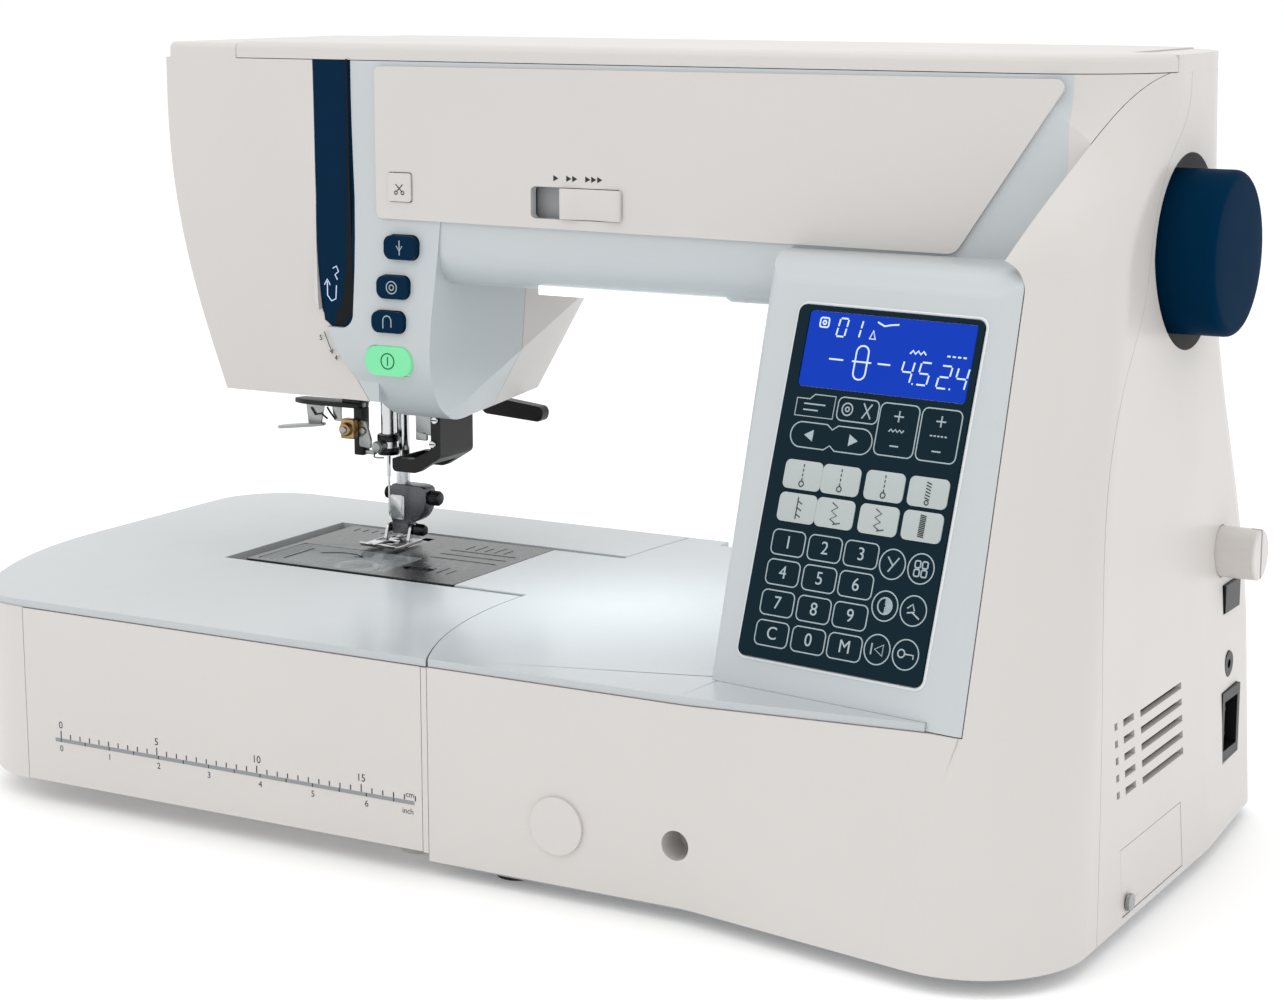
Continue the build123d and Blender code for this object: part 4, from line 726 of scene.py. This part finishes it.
def button_icons():
    """Small pale symbols on the blue buttons and a green one on the start button."""
    for node in ("needle_button", "lock_button", "reverse_button"):
        face = facing_front(low(node).y)
        c = middle(node) / MM
        x, z = c.x, c.z
        if node == "needle_button":
            lines = [([(x, z + 3), (x, z - 3)], False)]
            lines.append(([(x - 1.4, z + 0.8), (x, z - 1.4), (x + 1.4, z + 0.8)], False))
        elif node == "lock_button":
            lines = [(circle(x, z, 2.5, 20), True), (circle(x, z, 1.1, 14), True)]
        else:
            bend = circle(x, z + 0.6, 2.0, 10, 180, -180)
            lines = [([(x - 2, z - 2.6), (x - 2, z + 0.6)] + bend + [(x + 2, z - 2.0)], False)]
        strokes(node + "_icon", lines, face, 0.26, PRINT, node)
    face = facing_front(low("start_button").y)
    c = middle("start_button") / MM
    lines = [(circle(c.x, c.z, 3.2, 24), True), ([(c.x, c.z - 1.8), (c.x, c.z + 1.8)], False)]
    strokes("start_icon", lines, face, 0.3, DEEP_GREEN, "start_button")


# ---- hand wheel -----------------------------------------------------------------------------
WHEEL_DEEP = 30
SHAFT_R, HUB_R, PULLEY_R = 5.1, 6.7, 19.9
RIM_R = 3.4


def hand_wheel():
    """Turned hand wheel with a soft-edged rim, a shallow dished face and its pulley behind."""
    face_x = high("hand_wheel").x / MM
    radius = (high("hand_wheel").z - low("hand_wheel").z) / 2 / MM
    corner = low("hand_wheel")
    place = axes(Vector((0, corner.y + radius * MM, corner.z + radius * MM)), (0, 1, 0), (0, 0, 1))
    back = face_x - WHEEL_DEEP
    profile = [(SHAFT_R, back - 24.9), (PULLEY_R, back - 24.9), (PULLEY_R, back - 9.1)]
    profile += [(HUB_R, back - 9.1), (HUB_R, back + 4), (10, back + 4), (26.5, back + 3), (26.5, back)]
    profile += [(radius - 1.2, back), (radius - 0.2, back + 1.0), (radius, back + 2)]
    profile += [(radius, face_x - 4.2)]
    for i in range(1, 7):
        a = math.radians(15 * i)
        profile.append((radius - RIM_R + RIM_R * math.cos(a), face_x - 3.9 + RIM_R * math.sin(a)))
    profile += [(20, face_x - 0.25), (10, face_x - 0.05), (0, face_x)]
    bm = bmesh.new()
    add_lathe(bm, profile, place, 96)
    wheel = from_bmesh("hand_wheel_turned", bm, WHEEL_NAVY, "upper_drive")
    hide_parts("hand_wheel")


# ---- needle area ----------------------------------------------------------------------------
NEEDLE_X, NEEDLE_Y = -125.0, 46.5
THREADER_X, THREADER_Y = -139.0, 46.0
FOOT_PIN = (55.5, 92.0)


def soft(points, radius=1.0, steps=3):
    """Outline with every corner eased by a small curve."""
    out = []
    for i, corner in enumerate(points):
        corner = Vector(corner)
        before = Vector(points[i - 1]) - corner
        after = Vector(points[(i + 1) % len(points)]) - corner
        start = corner + before.normalized() * min(radius, before.length * 0.45)
        end = corner + after.normalized() * min(radius, after.length * 0.45)
        for k in range(steps + 1):
            t = k / steps
            out.append(tuple(start * (1 - t) ** 2 + corner * 2 * t * (1 - t) + end * t ** 2))
    return out


def add_front(bm, outline, y0, y1, radius=0.8):
    """Plate with an X-Z outline between two depths."""
    add_prism(bm, soft(outline, radius), facing_front(0), -y1, -y0)


def add_flat(bm, outline, z0, z1, radius=0.8):
    """Plate with an X-Y outline between two heights."""
    add_prism(bm, soft(outline, radius), Matrix(), z0, z1)


def add_side(bm, outline, x0, x1, radius=0.4):
    """Plate with a Y-Z outline between two X."""
    add_prism(bm, soft(outline, radius), facing_side(0), x0, x1)


def axis_x(x, y, z, sign=1):
    """Axis that points to the right, or to the left with sign -1."""
    return axes(mm(x, y, z), (0, sign, 0), (0, 0, 1))


def axis_front(x, y, z):
    """Axis that points at the operator."""
    return axes(mm(x, y, z), (1, 0, 0), (0, 0, 1))


def axis_up(x, y, z):
    """Axis that points up."""
    return axes(mm(x, y, z), (1, 0, 0), (0, 1, 0))


def knurled(bm, place, radius, length, teeth=26):
    """Screw head with a knurled rim."""
    rim = []
    for i in range(teeth * 2):
        a = math.pi * i / teeth
        r = radius if i % 2 else radius * 0.94
        rim.append((r * math.cos(a), r * math.sin(a)))
    add_prism(bm, rim, place, 0, length * 0.86)
    shoulder = length * 0.84
    profile = [(0, shoulder), (radius * 0.86, shoulder), (radius * 0.8, length), (0, length)]
    add_lathe(bm, profile, place, 32)


def slotted(bm, place, radius, length):
    """Cheese-head screw; the shade in the slot of some of them is painted on as dark bars."""
    profile = [(0, 0), (radius, 0), (radius, length * 0.7), (radius * 0.8, length), (0, length)]
    add_lathe(bm, profile, place, 28)


def dark_slots(name, places, radius, body):
    """Painted shade of the slots of several screws, as thin dark bars."""
    bm = bmesh.new()
    slot = box_outline(-radius * 0.8, radius * 0.8, -radius * 0.14, radius * 0.14)
    for place in places:
        add_prism(bm, slot, place, -0.1, 0.06)
    from_bmesh(name, bm, SHADE_AND_PRINT, body)


def foot_holder():
    """Cast holder of the foot: its bright face, clamp screws and small release lever."""
    bm = bmesh.new()
    cheek = [(-129.2, 94.5), (-119.6, 94.5), (-113.4, 97.6), (-110.4, 103), (-110.2, 111), (-113, 112.3),
             (-129.2, 112.3)]
    add_front(bm, cheek, 53.4, 61.5, 2.2)
    add_front(bm, box_outline(-128.8, -120.2, 89.6, 96), 53.6, 60.2, 1.0)
    holder = from_bmesh("foot_holder_form", bm, GUN, "presser_bar", 0.0005, 3)
    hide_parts("foot_holder")
    bm = bmesh.new()
    add_front(bm, box_outline(-128.9, -121.4, 96.4, 107.5), 52.6, 54.0, 1.2)
    from_bmesh("foot_holder_face", bm, BRIGHT, "presser_bar", 0.0003)
    bm = bmesh.new()
    knurled(bm, axis_x(-110.6, 57.5, 106.8), 3.4, 5.6)
    slotted(bm, axis_x(-129.0, 57.5, 107.4, -1), 2.0, 3.6)
    slotted(bm, axis_x(-132.2, 57.5, 107.4, -1), 2.9, 1.6)
    from_bmesh("foot_holder_screw", bm, BLACK_STEEL, "presser_bar", 0.00015)
    bm = bmesh.new()
    add_side(bm, [(60.5, 90.5), (66.5, 88.5), (67.5, 90.2), (62, 95), (60.5, 95)], -126.6, -122.6, 0.8)
    from_bmesh("foot_holder_lever", bm, BLACK, "presser_bar", 0.0003)


def presser_foot():
    """Zigzag foot: two turned-up toes, a bridge behind the needle hole, ears and a cross pin."""
    toe = [(58.4, 85.75), (44, 85.75), (39, 85.85), (36.8, 86.5), (35.6, 87.8), (36.3, 88.4), (37.4, 87.5),
           (39.4, 87.2), (46, 87.25), (58.4, 87.25)]
    bm = bmesh.new()
    for x0, x1 in ((-134.2, -127.9), (-122.1, -115.8)):
        add_side(bm, toe, x0, x1, 0.3)
    bridge = [(49.5, 85.8), (58.4, 85.8), (58.4, 87.3), (55, 88.4), (51, 88.4), (49.5, 87.3)]
    add_side(bm, bridge, -128.0, -122.0, 0.4)
    add_side(bm, box_outline(40.4, 42.0, 86.1, 87.0), -128.0, -122.0, 0.2)
    ear = [(50.6, 87), (60.2, 87), (58.2, 93.4), (56.6, 94.4), (54.2, 94.4), (52.6, 93)]
    add_side(bm, ear, -131.4, -130.0, 0.8)
    add_side(bm, ear, -119.2, -117.8, 0.8)
    foot = from_bmesh("presser_foot_form", bm, BRIGHT, "presser_foot", 0.0002)
    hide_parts("presser_foot")
    bm = bmesh.new()
    y, z = FOOT_PIN
    add_lathe(bm, [(0, 0), (1.1, 0), (1.1, 16), (0, 16)], axis_x(-132.4, y, z), 20)
    knob = [(0, 0), (1.9, 0), (2.7, 0.8), (2.7, 4.4), (2.0, 5.6), (0, 5.8)]
    add_lathe(bm, knob, axis_x(-117.6, y, z), 28)
    from_bmesh("foot_pin", bm, BLACK_STEEL, "presser_foot")
    rows = [52 - 1.6 * i for i in range(4)]
    lines = [([(x, row), (x + 4.2, row)], False) for row in rows for x in (-133.2, -121.0)]
    strokes("foot_grooves", lines, axis_up(0, 0, 87.26), 0.12, INK, "presser_foot")


def needle_clamp():
    """Clamp at the end of the needle bar, its screw and its thread guide."""
    bm = bmesh.new()
    profile = [(3.6, 126.8), (4.5, 127.0), (4.9, 127.6), (4.9, 130), (4.55, 130.3), (4.55, 133),
               (4.9, 133.3), (4.9, 135.6), (4.4, 136.2), (3.4, 136.3)]
    add_lathe(bm, profile, Matrix.Translation(mm(NEEDLE_X, NEEDLE_Y, 0)), 40)
    from_bmesh("needle_clamp", bm, BLACK_STEEL, "needle_bar")
    bm = bmesh.new()
    knurled(bm, axis_front(NEEDLE_X, 42.2, 131.5), 2.7, 5.6, 20)
    from_bmesh("needle_clamp_screw", bm, GROUND, "needle_bar", 0.0001)
    wire = [(-128.6, 43.4, 128.4), (-129.3, 41.6, 127.2), (-128.4, 40.2, 126.3), (-126, 39.9, 126.2),
            (-123.4, 40.4, 126.4)]
    strokes("needle_thread_guide", [(wire, False)], Matrix(), 0.4, BRIGHT, "needle_bar")


def guard_details():
    """Steel plate and screws on the black bracket beside the needle."""
    bm = bmesh.new()
    add_front(bm, [(-110.4, 138), (-98.8, 136.6), (-98.8, 150.5), (-110.4, 150.5)], 46.5, 47.9, 0.8)
    add_front(bm, box_outline(-110.4, -104.6, 134.6, 138.4), 46.5, 47.9, 0.6)
    from_bmesh("guard_plate", bm, GROUND, "machine", 0.0003)
    places = [axis_front(*at) for at in ((-95.5, 40.0, 145.5), (-96.8, 40.0, 134.8), (-106.5, 46.5, 147.5))]
    head_r, head_h = 1.7, 1.1
    bm = bmesh.new()
    for place in places:
        slotted(bm, place, head_r, head_h)
    from_bmesh("guard_screws", bm, BRIGHT, "machine")
    tops = [place @ Matrix.Translation(mm(0, 0, head_h)) for place in places]
    # The slots of the guard screws are painted shade: dark bars on the screw heads.
    dark_slots("guard_screw_slot_shade", tops, head_r, "machine")


def threader():
    """Needle threader: rod, black finger arm, bent steel tab and brass guide."""
    bm = bmesh.new()
    on_rod = Matrix.Translation(mm(THREADER_X, THREADER_Y, 0))
    add_lathe(bm, [(0, 126), (2, 126), (2, 259), (0, 259)], on_rod, 24)
    rod = from_bmesh("threader_rod", bm, GROUND, "needle_threader")
    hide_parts("needle_threader")
    bm = bmesh.new()
    arm = [(-174, 43.4), (-168, 40.8), (-152, 40.6), (-137.4, 41.2), (-137.4, 50.6), (-150, 51),
           (-172, 49.4)]
    add_flat(bm, arm, 147.0, 149.2, 1.6)
    add_flat(bm, box_outline(-147, -136.6, 41.8, 50.4), 149.0, 156.5, 1.4)
    add_flat(bm, box_outline(-141.6, -136.4, 43.2, 48.8), 125.8, 147.2, 1.0)
    from_bmesh("threader_arm", bm, BLACK, "needle_threader", 0.0004)
    bm = bmesh.new()
    tab = [(-181, 39.6), (-178.5, 37), (-160, 37.6), (-155.5, 40), (-156, 43.4), (-160, 45.4),
           (-178.5, 44.4), (-181, 42)]
    tilt = Matrix.Translation(mm(-158, 41, 138.6)) @ Matrix.Rotation(math.radians(-7), 4, "Y")
    add_prism(bm, soft([(x + 158, y - 41) for x, y in tab], 1.6), tilt, -0.7, 0.5)
    add_front(bm, [(-165.5, 138.2), (-158.5, 138.4), (-156.5, 147.4), (-166.5, 147.4)], 42.2, 43.2, 0.8)
    add_front(bm, [(-151.5, 140.5), (-147.6, 140.5), (-147.6, 147.3), (-152.5, 147.3)], 42.4, 43.4, 0.6)
    from_bmesh("threader_tab", bm, GROUND, "needle_threader", 0.0002)
    bm = bmesh.new()
    add_front(bm, box_outline(-145.2, -138.2, 133.6, 142.4), 38.6, 43.4, 0.8)
    stud = [(0, 0), (3.1, 0), (3.1, 2), (2.5, 2.6), (0, 2.6)]
    add_lathe(bm, stud, axis_front(-141.7, 38.8, 138), 26)
    from_bmesh("threader_guide", bm, BRONZE, "needle_threader", 0.0003)
    bm = bmesh.new()
    plate = [(-138.0, 130), (-132.2, 129.4), (-131.8, 133), (-134.5, 141.5), (-138.0, 141.5)]
    add_front(bm, plate, 42.6, 44.0, 0.8)
    slotted(bm, axis_front(-135.8, 42.6, 137.2), 1.7, 1.2)
    slotted(bm, axis_front(-141.7, 36.2, 138), 1.6, 0.8)
    add_flat(bm, box_outline(-139, -131.6, 44.6, 47.4), 126.4, 128.0, 0.5)
    from_bmesh("threader_plate", bm, GROUND, "needle_threader", 0.00015)
    springs = [[(-163.5, 42, 145.6), (-161, 41.6, 142.6), (-157.6, 41.6, 143.4), (-154.4, 41.6, 141.2)],
               [(-154.6, 41.8, 146.4), (-152.2, 41.6, 143.6), (-150.2, 41.8, 141.4)]]
    lines = [(spring, False) for spring in springs]
    strokes("threader_springs", lines, Matrix(), 0.45, BLACK_STEEL, "needle_threader")


GUIDE_X = (-92.5, -87.5, -82.5, -77.5, -72.5)
GUIDE_Y = (38.4, 46.5, 54.6)


def plate_marks():
    """Engraved seam guides and numbers on the needle plate, the arrow on the bobbin cover."""
    top = high("needle_plate").z / MM
    on_plate = Matrix.Translation(mm(0, 0, top))
    lines = [([(x, 12), (x, 20 + 3 * (i % 2))], False) for i, x in enumerate(GUIDE_X)]
    lines += [([(x, 58), (x, 66 + 3 * (i % 2))], False) for i, x in enumerate(GUIDE_X)]
    lines += [([(-98, y), (-64, y)], False) for y in GUIDE_Y]
    lines += [([(-160 + 5 * i, 68), (-160 + 5 * i, 73)], False) for i in range(6)]
    strokes("plate_engraving", lines, on_plate, 0.16, INK, "machine")
    items = [(str(10 + 5 * i), x, 27, 3.0) for i, x in enumerate(GUIDE_X)]
    items += [(label, -61.8, y, 3.0) for label, y in zip("123", GUIDE_Y)]
    inches = (("3/8", -90), ("4/8", -82.4), ("5/8", -75), ("6/8", -68))
    items += [(label, x, 50.6, 2.6) for label, x in inches]
    characters("plate_numbers", items, on_plate, PRINT, "machine", 0.1)
    cover = high("bobbin_cover").z / MM
    centre = middle("bobbin_cover") / MM
    x, y = centre.x, centre.y
    lines = [([(x - 14, y + 4), (x - 6, y + 9), (x + 2, y + 9), (x + 8, y + 5)], False)]
    lines.append(([(x + 5, y + 8.6), (x + 8, y + 5), (x + 3.6, y + 4.8)], False))
    lines.append(([(x - 22, y - 12), (x - 22, y + 10)], False))
    on_cover = Matrix.Translation(mm(0, 0, cover))
    strokes("cover_arrow", lines, on_cover, 0.22, SHADE_AND_PRINT, "bobbin_cover")
    bm = bmesh.new()
    add_lathe(bm, [(7.6, 0), (9.6, 0), (9.6, 1), (7.6, 1)], axis_up(x + 14, y - 8, cover - 1.2), 40)
    from_bmesh("cover_finger_rim", bm, CLEAR, "bobbin_cover")


# ---- thread strip, slider, recess -------------------------------------------------------------
def strip_details():
    """Painted shade of the thread slot beside the blue strip, and its small pale marks; the icon glows as
    painted light.
    """
    face_y = low("thread_strip").y / MM
    slot = [(-96.9, 302.6), (-96.9, 262), (-97.6, 236), (-98.6, 216), (-100.4, 204.5), (-104.6, 196.2),
            (-104.2, 193.2), (-99.5, 193.6), (-95.4, 199.5), (-94.9, 208), (-95.5, 222), (-96.0, 262),
            (-96.1, 302.6)]
    # The thread slot is painted shade: a thin dark sheet on the strip's face, with no recess behind it.
    bm = bmesh.new()
    add_prism(bm, slot[::-1], facing_front(face_y * MM), -0.2, 0.10)
    from_bmesh("thread_slot_shade", bm, SHADE_AND_PRINT, "machine")
    on_strip = facing_front((face_y - 0.05) * MM)
    lever = [(-108.2, 211.5), (-108.2, 205.6), (-106.2, 203.4), (-104, 204.4), (-103.6, 210)]
    hook = [(-105.2, 217), (-103.4, 218), (-102.4, 215.8), (-104.2, 214.4), (-103.0, 212.4)]
    tip = [(-109.6, 210), (-108.2, 212.4), (-106.8, 210)]
    lines = [(lever, False), (hook, False), (tip, False)]
    # The icon uses the glowing display material: a painted glow on a printed mark that is no lamp.
    strokes("strip_icon_glow", lines, on_strip, 0.24, SEGMENT, "machine")
    lines = [([(-110.4, 190.4), (-106.4, 181.4)], False)]
    lines.append(([(-107.8, 182.6), (-106.4, 181.4), (-106.2, 183.4)], False))
    strokes("strip_arrow", lines, on_strip, 0.16, INK, "machine")
    items = [("5", -112.2, 187.6, 3.0), ("4", -104.6, 179.6, 3.0)]
    characters("strip_numbers", items, on_strip, INK, "machine", 0.14)


SLIDER_SLOT_X = (-10.0, 34.4)


def slider():
    """Speed slider with a shallow finger hollow, and the floor of its slot."""
    lo, hi = low("speed_slider") / MM, high("speed_slider") / MM
    outline = [(lo.x, hi.y), (lo.x, lo.y + 0.5), (lo.x + 1.0, lo.y), (lo.x + 4.0, lo.y + 0.1)]
    for i in range(9):
        a = math.pi * (i + 1) / 10
        outline.append((lo.x + 5.0 + 17.5 * (i + 1) / 10, lo.y + 0.2 + 1.3 * math.sin(a)))
    outline += [(hi.x - 4.0, lo.y + 0.1), (hi.x - 1.0, lo.y), (hi.x, lo.y + 0.5), (hi.x, hi.y)]
    bm = bmesh.new()
    add_prism(bm, outline, Matrix(), lo.z, hi.z)
    knob = from_bmesh("speed_slider_knob", bm, CREAM, "speed_slider", 0.0003)
    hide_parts("speed_slider")
    bm = bmesh.new()
    slot = box_outline(*SLIDER_SLOT_X, lo.z - 1.2, hi.z + 1.2)
    add_front(bm, slot, hi.y + 0.25, hi.y + 1.2, 1.0)
    from_bmesh("slider_slot_floor", bm, WELL, "machine")


# ---- build ----------------------------------------------------------------------------------
camera()
studio()
floor()
dress_nodes()
control_panel()
ruler()
arm_marks()
button_icons()
hand_wheel()
foot_holder()
presser_foot()
needle_clamp()
guard_details()
threader()
plate_marks()
strip_details()
slider()

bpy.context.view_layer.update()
